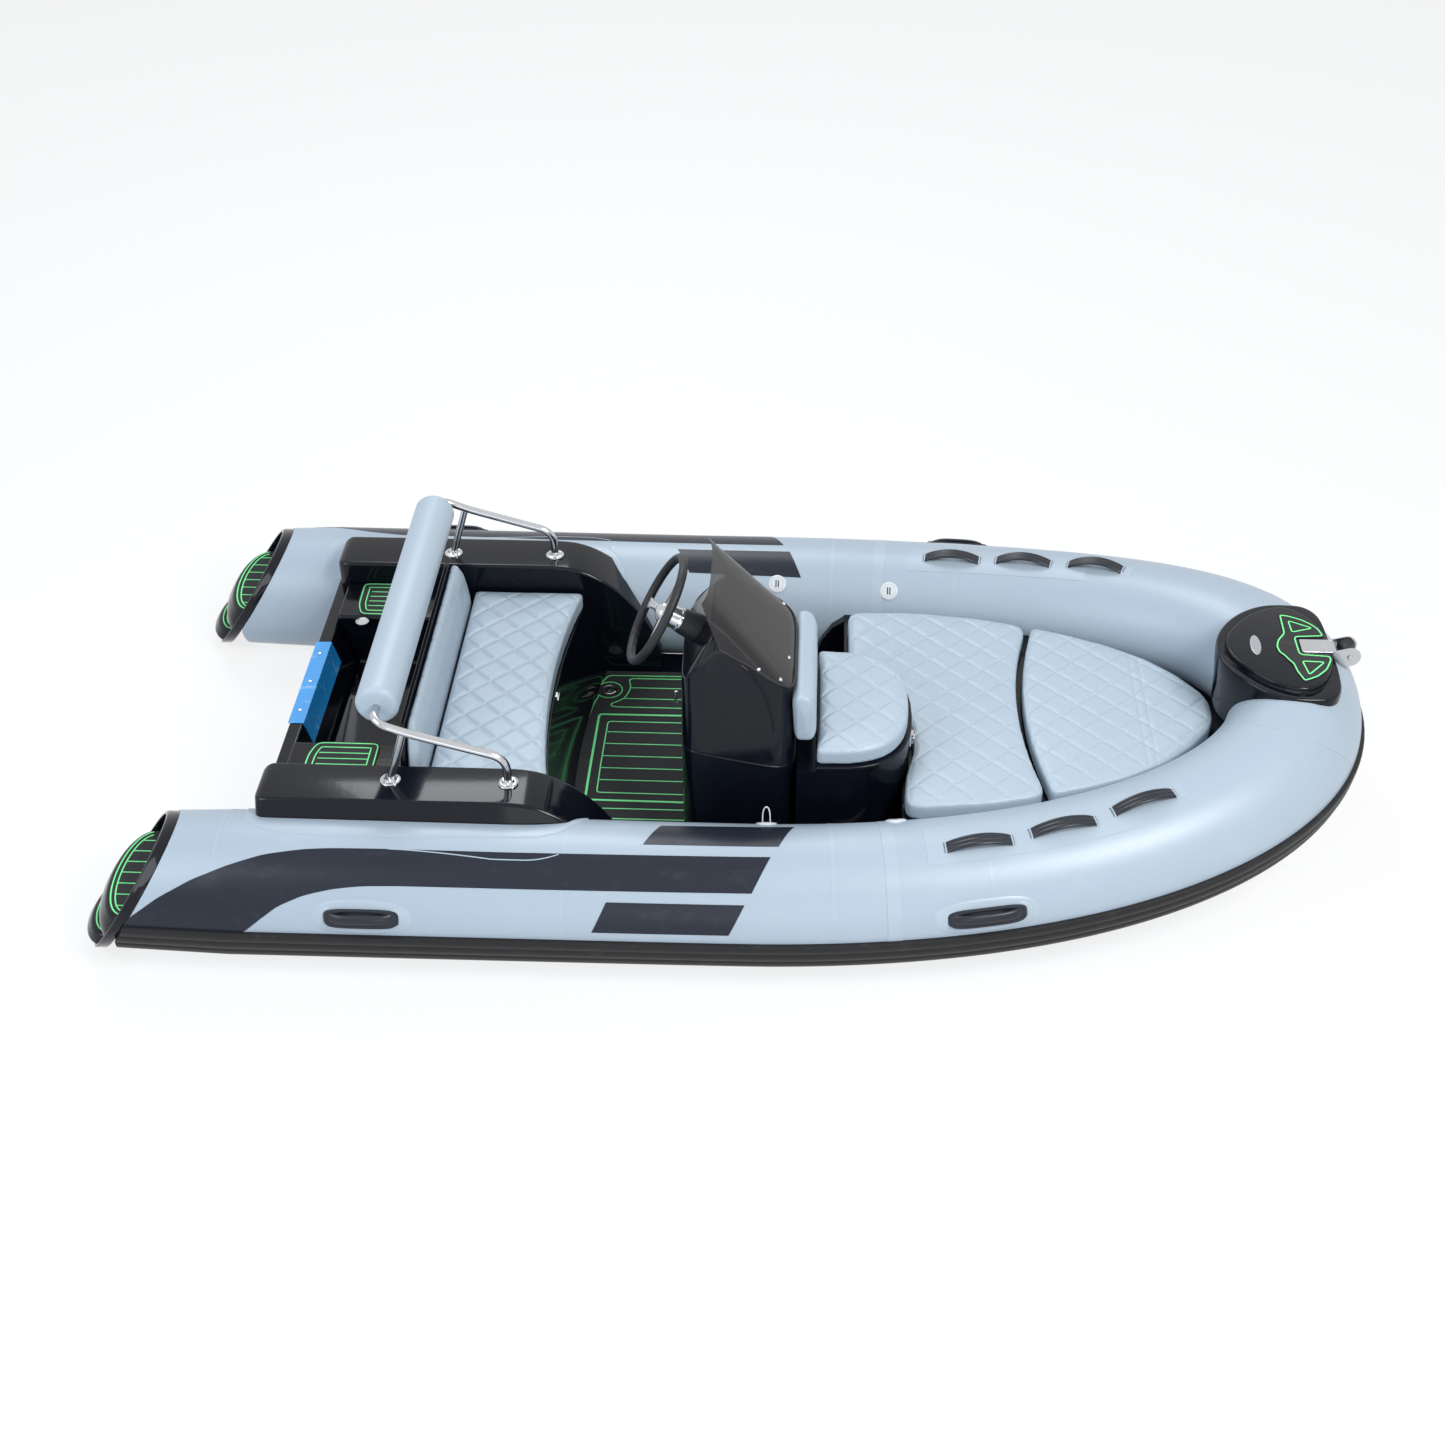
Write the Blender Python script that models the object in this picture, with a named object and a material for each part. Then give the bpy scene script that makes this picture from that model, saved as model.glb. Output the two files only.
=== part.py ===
"""Rigid inflatable boat, about 3.9 m long, as separate closed solids.

Frame: metres, +X to the bow, +Y to port, +Z up. The origin is on the centreline at the
waterline, under the aft edge of the transom's top.
"""
import math

import bmesh
import bpy
from mathutils import Vector

# Fits between neighbours
GAP = 0.0003
RUNNING = 0.006

# Collar: three air chambers round the hull
TUBE_R = 0.214
BOW_R = 0.201
TAPER_X = (-0.30, 2.90)
TUBE_Y = 0.766
TUBE_Z = 0.200
CURVE_X = 1.457
BOW_X = 3.122
STERN_PULL = 0.252
BOW_PULL = 0.741
SHEER_X = 0.85
SHEER_RISE = 0.173
SHEER_POWER = 3.4
TUBE_SIDES = 24
CURVE_STEPS = 15
SPLIT_STEP = 6

# The collar narrows a little at the stern, to raked caps
STERN_X = -0.050
STERN_R = 0.203
CAP_X = -0.374
CAP_SLOPE = 0.66
CAP_BAND = 0.038
CAP_LIP = 0.0015

# Treads on each cap: height, half width, bulge aft, thickness, height of the foot
TREADS = ((0.222, 0.196, 0.064, 0.032, 0.110), (0.088, 0.130, 0.054, 0.030, 0.030))

# Rub rail
RAIL_LOW = -27.0
RAIL_HIGH = 1.0
RAIL_T = 0.014
RAIL_RIBS = 3

# Hull under the deck
KEEL_Z = -0.22
KEEL_RISE_X = 1.60
KEEL_POWER = 2.2
CHINE_IN = 0.60
CHINE_DOWN = 1.02
DECK_DOWN = 0.84
TRANSOM_RAKE = math.radians(15.0)
HULL_TOOL_DROP = 0.5

# Cockpit
SOLE_Z = 0.035
SOLE_T = 0.0085
WALL_T = 0.025
WALL_Y = TUBE_Y - TUBE_R - WALL_T
BOX_TOP = TUBE_Z + TUBE_R + 0.051
BOX_IN = 0.076
BOX_EDGE = 0.032
BOX_CHAMFER = 0.055
BOX_END = 0.013
BOX_SWEEP = ((0.800, 0.000), (0.860, 0.020), (0.922, 0.058), (0.978, 0.108), (1.038, 0.184), (1.088, 0.287),
             (1.102, 0.350))

# Transom and stern deck
TRANSOM_T = 0.044
TRANSOM_TOP = 0.360
PLATE_HALF = 0.215
PLATE_T = 0.003
PLATE_DROP = 0.080
SHELF_Z = 0.385
WELL_HALF = 0.330
WELL_Z = 0.200
BACK_X = 0.405
BACK_T = 0.015

# Aft bench
BENCH_SEAT_X = 0.474
BENCH_FRONT_X = 0.803
BENCH_SWEEP = 0.048
BENCH_HALF = WALL_Y - 0.007
BENCH_BASE_TOP = 0.300
BENCH_TOE = 0.062
LID_T = 0.0145
CUSHION_T = 0.061
LOCKER_WALL = 0.014
BOLSTER_FOOT = BENCH_HALF - 0.008
BOLSTER_HALF = BOLSTER_FOOT - 0.087
BOLSTER_TOP = 0.553

# Stern rail with its padded roll
ROLL_X = 0.370
ROLL_Z = 0.680
ROLL_R = 0.064
PIPE_R = 0.0125
RAIL_IN = 0.073
RAIL_Y = WALL_Y + RAIL_IN
ROLL_END = 0.069
ROLL_HALF = RAIL_Y - ROLL_END
FLANGE_R = 0.030
FLANGE_T = 0.005
FLANGE_X = (0.400, 0.746)
STRUT_X = 0.055
STRUT_DROP = 0.0355
KNEE_DROP = 0.122

# Console, set to starboard
CONSOLE_Y = -0.190
CONSOLE_HALF = 0.270
CONSOLE_AFT = 1.236
CONSOLE_FWD = 1.583
CONSOLE_SHOULDER = 0.450
CONSOLE_LEAN = 0.2286
DASH_Z = 0.675
PEAK_X = 1.349
PEAK_Z = 0.803
COWL_FWD = 1.572
COWL_Z = 0.655
RIDGE_X = 1.345
RIDGE_Z = 0.835
SCREEN_T = 0.004
SCREEN_TOP_Z = 0.950
SCREEN_TOP_X = 1.322
SCREEN_TOP_HALF = 0.176
SCREEN_FAN = math.radians(48.0)
BACKREST_T = 0.050
BACKREST_Z = (0.498, 0.662)
BACKREST_HALF = 0.230

# Seat in front of the console
SEAT_HALF = 0.264
SEAT_LENGTH = 0.347
SEAT_FWD = CONSOLE_FWD + SEAT_LENGTH
SEAT_BOX_TOP = 0.415
SEAT_LID_T = 0.016
SEAT_CUSHION_T = 0.058

# Steering wheel
WHEEL_X = 1.160
WHEEL_Z = 0.806
WHEEL_R = 0.167
WHEEL_RIM = 0.0135
WHEEL_TILT = math.radians(29.0)
HUB_R = 0.030
HUB_T = 0.040
BOSS_R = 0.038
SPOKE_R = 0.007
SPOKES = 3

# Bow deck and its cushions
BOW_DECK_X = CONSOLE_FWD + 0.147
STBD_DECK_X = SEAT_FWD - 0.030
BOW_DECK_Z = 0.272
BOW_CUSHION_T = 0.062
BOW_CUSHION_EDGE = ((1.70, 0.498), (1.95, 0.508), (2.17, 0.482), (2.30, 0.447), (2.45, 0.400),
                    (2.58, 0.333), (2.70, 0.247), (2.78, 0.160), (2.835, 0.075), (2.85, 0.030))
CUSHION_SPLIT_X = 2.285
CUSHION_SPLIT_BOW = 0.055

# Bow step and anchor roller; the edges are (along X from the bow's centre line, half width)
STEP_Z = TUBE_Z + SHEER_RISE + BOW_R + 0.010
STEP_EDGE = ((-0.229, 0.000), (-0.217, 0.060), (-0.177, 0.122), (-0.122, 0.178), (-0.062, 0.208),
             (-0.012, 0.210), (0.033, 0.176), (0.066, 0.115), (0.083, 0.050), (0.088, 0.000))
SKIRT_EDGE = ((-0.254, 0.000), (-0.245, 0.070), (-0.207, 0.143), (-0.150, 0.203), (-0.082, 0.240),
              (-0.012, 0.248), (0.048, 0.238), (0.084, 0.190), (0.094, 0.100), (0.094, 0.000))
SKIRT_FRONT = BOW_X + SKIRT_EDGE[-1][0]
SKIRT_Z = STEP_Z - 0.134
SKIRT_TOP = STEP_Z - 0.028
SKIRT_LEAN = 0.07
ROLLER_R = 0.028
ROLLER_X = SKIRT_FRONT + 0.046
ROLLER_Z = STEP_Z - 0.014
ROLLER_HALF = 0.028
CHEEK_R = 0.033
BRACKET_T = 0.004
AXLE_R = 0.006

# Handles: name, place along X, angle round the tube to port and to starboard, span, width, rise
HANDLES = (
    ("grip_aft", 0.360, 34.0, 17.0, 0.215, 0.052, 0.030),
    ("grip_bow", 2.105, 34.0, 17.0, 0.215, 0.052, 0.030),
    ("strap_1", 2.110, 100.0, 76.0, 0.200, 0.036, 0.028),
    ("strap_2", 2.355, 98.0, 79.0, 0.200, 0.036, 0.028),
    ("strap_3", 2.595, 96.0, 83.0, 0.200, 0.036, 0.028),
)
HANDLE_T = 0.008
HANDLE_FOOT = 0.034

SIDES = (("port", 1), ("stbd", -1))

# Colours, roughness and metal of each finish
FINISHES = {
    "collar_fabric": ((0.40, 0.47, 0.53), 0.55, 0.0),
    "gelcoat": ((0.012, 0.013, 0.016), 0.18, 0.0),
    "hull_gelcoat": ((0.020, 0.021, 0.024), 0.25, 0.0),
    "eva_deck": ((0.045, 0.046, 0.050), 0.85, 0.0),
    "upholstery": ((0.46, 0.54, 0.61), 0.50, 0.0),
    "rub_rubber": ((0.020, 0.021, 0.023), 0.60, 0.0),
    "stainless": ((0.72, 0.72, 0.73), 0.15, 1.0),
    "acrylic": ((0.10, 0.10, 0.11), 0.08, 0.0),
    "rim_rubber": ((0.030, 0.031, 0.034), 0.55, 0.0),
    "blue_film": ((0.05, 0.33, 0.75), 0.30, 0.0),
    "webbing": ((0.025, 0.027, 0.032), 0.65, 0.0),
}


def clear_scene():
    for thing in list(bpy.data.objects):
        bpy.data.objects.remove(thing, do_unlink=True)


def finish(name):
    """The named finish as a Principled material, made once."""
    known = bpy.data.materials.get(name)
    if known:
        return known
    colour, roughness, metallic = FINISHES[name]
    material = bpy.data.materials.new(name)
    material.use_nodes = True
    shader = material.node_tree.nodes["Principled BSDF"]
    shader.inputs["Base Color"].default_value = (*colour, 1.0)
    shader.inputs["Roughness"].default_value = roughness
    shader.inputs["Metallic"].default_value = metallic
    return material


def new_object(name, mesh_data, material):
    thing = bpy.data.objects.new(name, mesh_data)
    bpy.context.scene.collection.objects.link(thing)
    if material:
        mesh_data.materials.append(finish(material))
    return thing


def solid(name, mesh, material):
    """A closed bmesh becomes an object whose faces point out."""
    bmesh.ops.recalc_face_normals(mesh, faces=mesh.faces)
    data = bpy.data.meshes.new(name)
    mesh.to_mesh(data)
    mesh.free()
    return new_object(name, data, material)


def rings_mesh(rings, closed=False, split=False):
    """Quads or triangle pairs between equal rings of points, with flat ends or joined end to end."""
    mesh = bmesh.new()
    loops = [[mesh.verts.new(point) for point in ring] for ring in rings]
    count = len(loops[0])
    pairs = list(zip(loops, loops[1:]))
    if closed:
        pairs.append((loops[-1], loops[0]))
    for low, high in pairs:
        for i in range(count):
            j = (i + 1) % count
            if split:
                mesh.faces.new((low[i], low[j], high[j]))
                mesh.faces.new((low[i], high[j], high[i]))
            else:
                mesh.faces.new((low[i], low[j], high[j], high[i]))
    if not closed:
        mesh.faces.new(loops[0])
        mesh.faces.new(loops[-1])
    return mesh


def prism(name, outline, low, high, material, axis="z"):
    """An outline carried straight along one axis; outline pairs are the other two, in order."""
    def place(pair, along):
        if axis == "z":
            return Vector((pair[0], pair[1], along))
        if axis == "y":
            return Vector((pair[0], along, pair[1]))
        return Vector((along, pair[0], pair[1]))
    rings = [[place(pair, along) for pair in outline] for along in (low, high)]
    return solid(name, rings_mesh(rings), material)


def box(name, low, high, material):
    outline = [(low[0], low[1]), (high[0], low[1]), (high[0], high[1]), (low[0], high[1])]
    return prism(name, outline, low[2], high[2], material)


def hide_tool(tool):
    tool.hide_render = True
    tool.display_type = "WIRE"


def carve(thing, tool, operation="DIFFERENCE"):
    step = thing.modifiers.new(operation.title(), "BOOLEAN")
    step.operation = operation
    step.solver = "EXACT"
    step.object = tool
    hide_tool(tool)


def soften(thing, width, segments=2, angle=30.0):
    edge = thing.modifiers.new("Bevel", "BEVEL")
    edge.width = width
    edge.segments = segments
    edge.limit_method = "ANGLE"
    edge.angle_limit = math.radians(angle)


def smooth(thing, angle=40.0):
    thing.data.shade_smooth()
    thing.data.set_sharp_from_angle(angle=math.radians(angle))


def arc(centre, radius, start, end, steps):
    """Points on a circle in a plane, angles in degrees."""
    points = []
    for i in range(steps + 1):
        angle = math.radians(start + (end - start) * i / steps)
        points.append((centre[0] + radius * math.cos(angle), centre[1] + radius * math.sin(angle)))
    return points


def sheer(x):
    """How far the collar's centre has risen at a place along the boat."""
    share = max(0.0, (x - SHEER_X) / (BOW_X - SHEER_X))
    return SHEER_RISE * share ** SHEER_POWER


def tube_r(x):
    """The collar's radius, which narrows towards the bow and at the stern."""
    share = min((x - TAPER_X[0]) / (TAPER_X[1] - TAPER_X[0]), 1.0)
    if x >= STERN_X:
        return TUBE_R + (BOW_R - TUBE_R) * share
    return tube_r(STERN_X) + (STERN_R - TUBE_R) * (STERN_X - x) / (STERN_X - CAP_X)


def half_path(start_x):
    """The collar's centre line on the port side, from the stern to the middle of the bow."""
    a = Vector((CURVE_X, TUBE_Y))
    b = Vector((CURVE_X + STERN_PULL, TUBE_Y))
    c = Vector((BOW_X, BOW_PULL))
    d = Vector((BOW_X, 0.0))
    flat = [Vector((start_x, TUBE_Y)), Vector((STERN_X, TUBE_Y))]
    for i in range(CURVE_STEPS + 1):
        t = i / CURVE_STEPS
        s = 1.0 - t
        flat.append(a * s ** 3 + b * (3 * s * s * t) + c * (3 * s * t * t) + d * t ** 3)
    return [Vector((p.x, p.y, TUBE_Z + sheer(p.x))) for p in flat]


def whole_path(start_x):
    port = half_path(start_x)
    starboard = [Vector((p.x, -p.y, p.z)) for p in reversed(port[:-1])]
    return port + starboard


def frames(path):
    """Point, tangent, outboard and upward directions at each station of a path."""
    result = []
    for i, point in enumerate(path):
        before = path[max(0, i - 1)]
        after = path[min(len(path) - 1, i + 1)]
        tangent = (after - before).normalized()
        if i == 2:
            tangent = (path[2] - path[1]).normalized()
        if i == len(path) - 3:
            tangent = (path[-2] - path[-3]).normalized()
        out = Vector((0.0, 0.0, 1.0)).cross(tangent).normalized()
        up = tangent.cross(out)
        result.append((point, tangent, out, up))
    return result


def tube_ring(frame, grow):
    point, tangent, out, up = frame
    radius = tube_r(point.x) + grow
    ring = []
    for i in range(TUBE_SIDES):
        angle = 2.0 * math.pi * (i + 0.5) / TUBE_SIDES
        ring.append(point + radius * (math.cos(angle) * out + math.sin(angle) * up))
    return ring


def cap_plane_x(z):
    """Where the raked face of a stern cap is at a height."""
    return CAP_X + CAP_SLOPE * (z - TUBE_Z)


def on_cap_plane(ring, beyond, ahead):
    """Slide each point along its line to the next ring until it meets the raked plane."""
    result = []
    for point, onward in zip(ring, beyond):
        along = onward - point
        off = point.x - cap_plane_x(point.z) - ahead
        result.append(point - along * (off / (along.x - CAP_SLOPE * along.z)))
    return result


def collar_cutter():
    """The collar grown by the fit, which neighbours are cut with."""
    rings = [tube_ring(frame, GAP) for frame in frames(whole_path(CAP_X - TUBE_R))]
    return solid("collar_cutter", rings_mesh(rings, split=True), None)


def chambers():
    """Port, bow and starboard air chambers, meeting at flat bulkheads."""
    path = frames(whole_path(CAP_X))
    last = len(path) - 1
    stations = {
        "collar_port": list(range(0, SPLIT_STEP + 1)),
        "collar_bow": list(range(SPLIT_STEP, last - SPLIT_STEP + 1)),
        "collar_stbd": list(range(last - SPLIT_STEP, last + 1)),
    }
    for name, indices in stations.items():
        rings = [tube_ring(path[i], 0.0) for i in indices]
        for end, sign in ((0, 1.0), (-1, -1.0)):
            if indices[end] in (0, last):
                rings[end] = on_cap_plane(rings[end], rings[1 if end == 0 else -2], CAP_BAND + GAP)
            else:
                shift = path[indices[end]][1] * (sign * GAP / 2)
                rings[end] = [p + shift for p in rings[end]]
        smooth(solid(name, rings_mesh(rings, split=True), "collar_fabric"))


def tread_ring(z, half, depth, side):
    """A tread seen from above at a height: a chord on the cap and an arc bulging aft."""
    chord = cap_plane_x(z) + CAP_BAND
    points = []
    for i in range(13):
        angle = math.pi * i / 12
        x = chord - (depth + CAP_BAND) * math.sin(angle) ** 0.8
        points.append(Vector((x, side * (TUBE_Y + half * math.cos(angle)), z)))
    return points


def keep_aft_of(thing_mesh, ahead):
    """Cut a mesh back to what lies aft of a plane parallel to the cap."""
    point = Vector((cap_plane_x(TUBE_Z) + ahead, 0.0, TUBE_Z))
    normal = Vector((1.0, 0.0, -CAP_SLOPE)).normalized()
    geometry = thing_mesh.verts[:] + thing_mesh.edges[:] + thing_mesh.faces[:]
    cut = bmesh.ops.bisect_plane(
        thing_mesh, geom=geometry, plane_co=point, plane_no=normal, clear_outer=True)
    edges = [g for g in cut["geom_cut"] if isinstance(g, bmesh.types.BMEdge)]
    bmesh.ops.edgeloop_fill(thing_mesh, edges=edges)


def stern_cap(label, side):
    frame = (Vector((CAP_X, side * TUBE_Y, TUBE_Z)), Vector((1, 0, 0)), Vector((0, 1, 0)), Vector((0, 0, 1)))
    ring = tube_ring(frame, CAP_LIP)
    onward = [p + Vector((1, 0, 0)) for p in ring]
    cap = solid(f"stern_cap_{label}", rings_mesh(
        [on_cap_plane(ring, onward, 0.0), on_cap_plane(ring, onward, CAP_BAND)]), "gelcoat")
    for number, (z, half, depth, thick, foot) in enumerate(TREADS):
        narrow = math.sqrt(STERN_R ** 2 - (TUBE_Z - foot) ** 2)
        rings = [tread_ring(foot, narrow, 0.002, side), tread_ring(z - thick, half, depth, side),
                 tread_ring(z - 0.006, half, depth, side), tread_ring(z, half - 0.004, depth - 0.005, side)]
        mesh = rings_mesh(rings)
        bmesh.ops.recalc_face_normals(mesh, faces=mesh.faces)
        keep_aft_of(mesh, CAP_BAND / 2)
        carve(cap, solid(f"tread_{label}_{number}_tool", mesh, None), "UNION")


def rub_rail():
    """A ribbed band round the outside of the collar, in the chambers' three lengths."""
    path = frames(whole_path(CAP_X))
    last = len(path) - 1
    profile = [(RAIL_LOW, GAP), (RAIL_LOW, RAIL_T * 0.5)]
    step = (RAIL_HIGH - RAIL_LOW) / RAIL_RIBS
    for i in range(RAIL_RIBS):
        profile.append((RAIL_LOW + step * (i + 0.25), RAIL_T))
        profile.append((RAIL_LOW + step * (i + 0.75), RAIL_T))
        if i < RAIL_RIBS - 1:
            profile.append((RAIL_LOW + step * (i + 1), RAIL_T * 0.55))
    profile += [(RAIL_HIGH, RAIL_T * 0.5), (RAIL_HIGH, GAP)]
    spans = {
        "rub_rail_port": range(0, SPLIT_STEP + 1),
        "rub_rail_bow": range(SPLIT_STEP, last - SPLIT_STEP + 1),
        "rub_rail_stbd": range(last - SPLIT_STEP, last + 1),
    }
    for name, indices in spans.items():
        rings = []
        for i in indices:
            point, tangent, out, up = path[i]
            ring = []
            for angle, height in profile:
                turn = math.radians(angle)
                radius = tube_r(point.x) + height
                ring.append(point + radius * (math.cos(turn) * out + math.sin(turn) * up))
            rings.append(ring)
        for end, sign in ((0, 1.0), (-1, -1.0)):
            if indices[end] in (0, last):
                rings[end] = on_cap_plane(rings[end], rings[1 if end == 0 else -2], CAP_BAND + GAP)
            else:
                rings[end] = [p + path[indices[end]][1] * (sign * GAP / 2) for p in rings[end]]
        thing = solid(name, rings_mesh(rings, split=True), "rub_rubber")
        carve(thing, bpy.data.objects["collar_cutter"])


def transom_x(z):
    """The transom's aft face, which leans aft as it rises."""
    return (TRANSOM_TOP - z) * math.tan(TRANSOM_RAKE)


def hull_stations():
    """Chine and deck edge at stations that follow the collar."""
    rows = []
    for point, tangent, out, up in frames(half_path(CAP_X))[2:]:
        radius = tube_r(point.x)
        inner = point - out * CHINE_IN * radius
        rows.append((inner.x, max(inner.y, 0.004), point.z - CHINE_DOWN * radius, point.z - DECK_DOWN * radius))
    return rows


def keel_z(x, stem_x, stem_z):
    if x <= KEEL_RISE_X:
        return KEEL_Z
    share = (x - KEEL_RISE_X) / (stem_x - KEEL_RISE_X)
    return KEEL_Z + (stem_z - KEEL_Z) * share ** KEEL_POWER


def hull(name="hull", lift=0.0, drop=0.0, material="hull_gelcoat"):
    """A deep V carried from the transom to the stem."""
    rows = hull_stations()
    stem_x, _, stem_z, _ = rows[-1]
    first = rows[0]
    sections = [(None, first[1], first[2], first[3])] + rows
    rings = []
    for x, half, chine, deck in sections:
        keel = KEEL_Z if x is None else keel_z(x, stem_x, stem_z - 0.002)
        bilge = chine - drop
        ring = []
        for y, z in ((0.0, keel - drop), (half, bilge), (half, deck), (-half, deck), (-half, bilge)):
            ring.append(Vector((transom_x(z) if x is None else x, y, z + lift)))
        rings.append(ring)
    thing = solid(name, rings_mesh(rings, split=True), material)
    carve(thing, bpy.data.objects["collar_cutter"])
    carve(thing, bpy.data.objects["sole_recess"])
    return thing


def sole_recess():
    """The room above the hull's deck that the cockpit floor lies in."""
    tool = box("sole_recess", (transom_x(SOLE_Z) - 1.0, -TUBE_Y, SOLE_Z - SOLE_T - GAP),
               (BOW_DECK_X, TUBE_Y, SOLE_Z + TUBE_R), None)
    hide_tool(tool)


def sole():
    """The cockpit floor, from the stern deck to the bow locker."""
    half = TUBE_Y - CHINE_IN * TUBE_R
    outline = [(transom_x(SOLE_Z) + 0.002, -half), (BOW_DECK_X - GAP, -half),
               (BOW_DECK_X - GAP, half), (transom_x(SOLE_Z) + 0.002, half)]
    thing = prism("cockpit_sole", outline, SOLE_Z - SOLE_T, SOLE_Z, "eva_deck")
    carve(thing, bpy.data.objects["collar_cutter"])


def side_box(label, side):
    """Coaming over the collar's inner top: a wall whose top sweeps down forward."""
    floor = SOLE_Z + GAP
    foot = transom_x(floor) + TRANSOM_T + GAP
    shoulder = transom_x(TRANSOM_TOP) + TRANSOM_T + GAP
    ledge = TRANSOM_TOP + GAP
    profile = [(foot, floor), (shoulder, TRANSOM_TOP), (shoulder, ledge), (BOX_END, ledge),
               (BOX_END, BOX_TOP - 0.020), (BOX_END + 0.014, BOX_TOP)]
    profile += [(x, BOX_TOP - drop) for x, drop in BOX_SWEEP] + [(BOX_SWEEP[-1][0], floor)]
    outer = TUBE_Y - BOX_IN
    low, high = sorted((side * WALL_Y, side * (outer + BOX_EDGE)))
    thing = prism(f"side_box_{label}", profile, low, high, "gelcoat", axis="y")
    reach = 0.2
    wedge = [(side * outer, BOX_TOP + GAP), (side * (outer + reach), BOX_TOP + GAP),
             (side * (outer + reach), BOX_TOP - BOX_CHAMFER * reach / BOX_EDGE)]
    tool = prism(f"side_box_{label}_tool", wedge, -0.1, 1.3, None, axis="x")
    carve(thing, tool)
    carve(thing, bpy.data.objects["collar_cutter"])


def transom():
    profile = [(transom_x(TRANSOM_TOP), TRANSOM_TOP), (transom_x(TRANSOM_TOP) + TRANSOM_T, TRANSOM_TOP),
               (transom_x(SOLE_Z) + TRANSOM_T, SOLE_Z + GAP), (transom_x(SOLE_Z), SOLE_Z + GAP)]
    half = TUBE_Y - CHINE_IN * TUBE_R
    thing = prism("transom", profile, -half, half, "gelcoat", axis="y")
    carve(thing, bpy.data.objects["collar_cutter"])
    plate = [(transom_x(TRANSOM_TOP) - PLATE_T, TRANSOM_TOP + GAP),
             (transom_x(TRANSOM_TOP) - PLATE_T, TRANSOM_TOP + PLATE_T),
             (transom_x(TRANSOM_TOP) + TRANSOM_T + PLATE_T, TRANSOM_TOP + PLATE_T)]
    low = TRANSOM_TOP - PLATE_DROP
    plate += [(transom_x(low) + TRANSOM_T + PLATE_T + GAP, low), (transom_x(low) + TRANSOM_T + GAP, low),
              (transom_x(TRANSOM_TOP) + TRANSOM_T + GAP, TRANSOM_TOP + GAP)]
    prism("motor_plate", plate, -PLATE_HALF, PLATE_HALF, "blue_film", axis="y")


def stern_deck():
    """Corner shelves on both sides of the splash well, between transom and bench."""
    floor = SOLE_Z + GAP
    half = WALL_Y - GAP
    ahead = BACK_X - GAP
    top_x = transom_x(SHELF_Z) + TRANSOM_T + 2 * GAP + PLATE_T
    low_x = transom_x(floor) + TRANSOM_T + 2 * GAP + PLATE_T
    profile = [(low_x, floor), (top_x, SHELF_Z), (ahead, SHELF_Z), (ahead, floor)]
    thing = prism("stern_deck", profile, -half, half, "gelcoat", axis="y")
    well = [(transom_x(WELL_Z) + TRANSOM_T - 0.08, WELL_Z), (transom_x(SHELF_Z) - 0.08, SHELF_Z + 0.05),
            (ahead - 0.020, SHELF_Z + 0.05), (ahead - 0.045, WELL_Z)]
    carve(thing, prism("well_tool", well, -WELL_HALF, WELL_HALF, None, axis="y"))
    shoulder = SHELF_Z + 0.012
    top = BOLSTER_TOP - 0.010
    outline = [(-half, floor), (half, floor), (half, shoulder), (BOLSTER_FOOT - 0.010, shoulder),
               (BOLSTER_HALF, top), (-BOLSTER_HALF, top), (0.010 - BOLSTER_FOOT, shoulder), (-half, shoulder)]
    prism("bench_back", outline, BACK_X, BACK_X + BACK_T, "gelcoat", axis="x")


def bench_front(y, shift=0.0):
    """The bench's front edge, which curves aft in the middle."""
    return BENCH_FRONT_X + shift + BENCH_SWEEP * (y / BENCH_HALF) ** 2


def bench_outline(rear, half, shift):
    steps = 12
    points = [(rear, -half)]
    for i in range(steps + 1):
        y = -half + 2.0 * half * i / steps
        points.append((bench_front(y, shift), y))
    points.append((rear, half))
    return points


def loft_outline(name, low, high, z_low, z_high, material):
    """Between two outlines of equal count, one above the other."""
    rings = [[Vector((x, y, z_low)) for x, y in low], [Vector((x, y, z_high)) for x, y in high]]
    return solid(name, rings_mesh(rings), material)


def bench():
    floor = SOLE_Z + GAP
    rear = BACK_X + BACK_T + GAP
    half = WALL_Y - GAP
    base = loft_outline("bench_base", bench_outline(rear, half, BENCH_TOE),
                        bench_outline(rear, half, -0.004), floor, BENCH_BASE_TOP, "gelcoat")
    cavity = bench_outline(BENCH_SEAT_X, half - LOCKER_WALL, -0.004 - LOCKER_WALL)
    carve(base, prism("bench_locker_tool", cavity, floor + LOCKER_WALL, BENCH_BASE_TOP + 0.1, None))
    lid_low = BENCH_BASE_TOP + GAP
    lid_high = BENCH_BASE_TOP + LID_T
    seat = bench_outline(BENCH_SEAT_X, BENCH_HALF, 0.0)
    prism("bench_lid", seat, lid_low, lid_high, "gelcoat")
    cushion = prism("bench_cushion", seat, lid_high + GAP, lid_high + CUSHION_T, "upholstery")
    smooth(cushion)
    foot = BENCH_BASE_TOP + GAP
    front = BENCH_SEAT_X - RUNNING
    top = BOLSTER_TOP
    profile = [(rear, foot), (front, foot), (front, foot + 0.09), (front - 0.004, top - 0.060),
               (front - 0.014, top - 0.015), (front - 0.026, top), (rear + 0.008, top - 0.006),
               (rear, top - 0.025)]
    rings = []
    for side in (-1, 1):
        ring = []
        for x, z in profile:
            share = (z - foot) / (top - foot)
            ring.append(Vector((x, side * (BOLSTER_FOOT + (BOLSTER_HALF - BOLSTER_FOOT) * share ** 1.6), z)))
        rings.append(ring)
    smooth(solid("bench_bolster", rings_mesh(rings), "upholstery"), 60.0)


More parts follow.
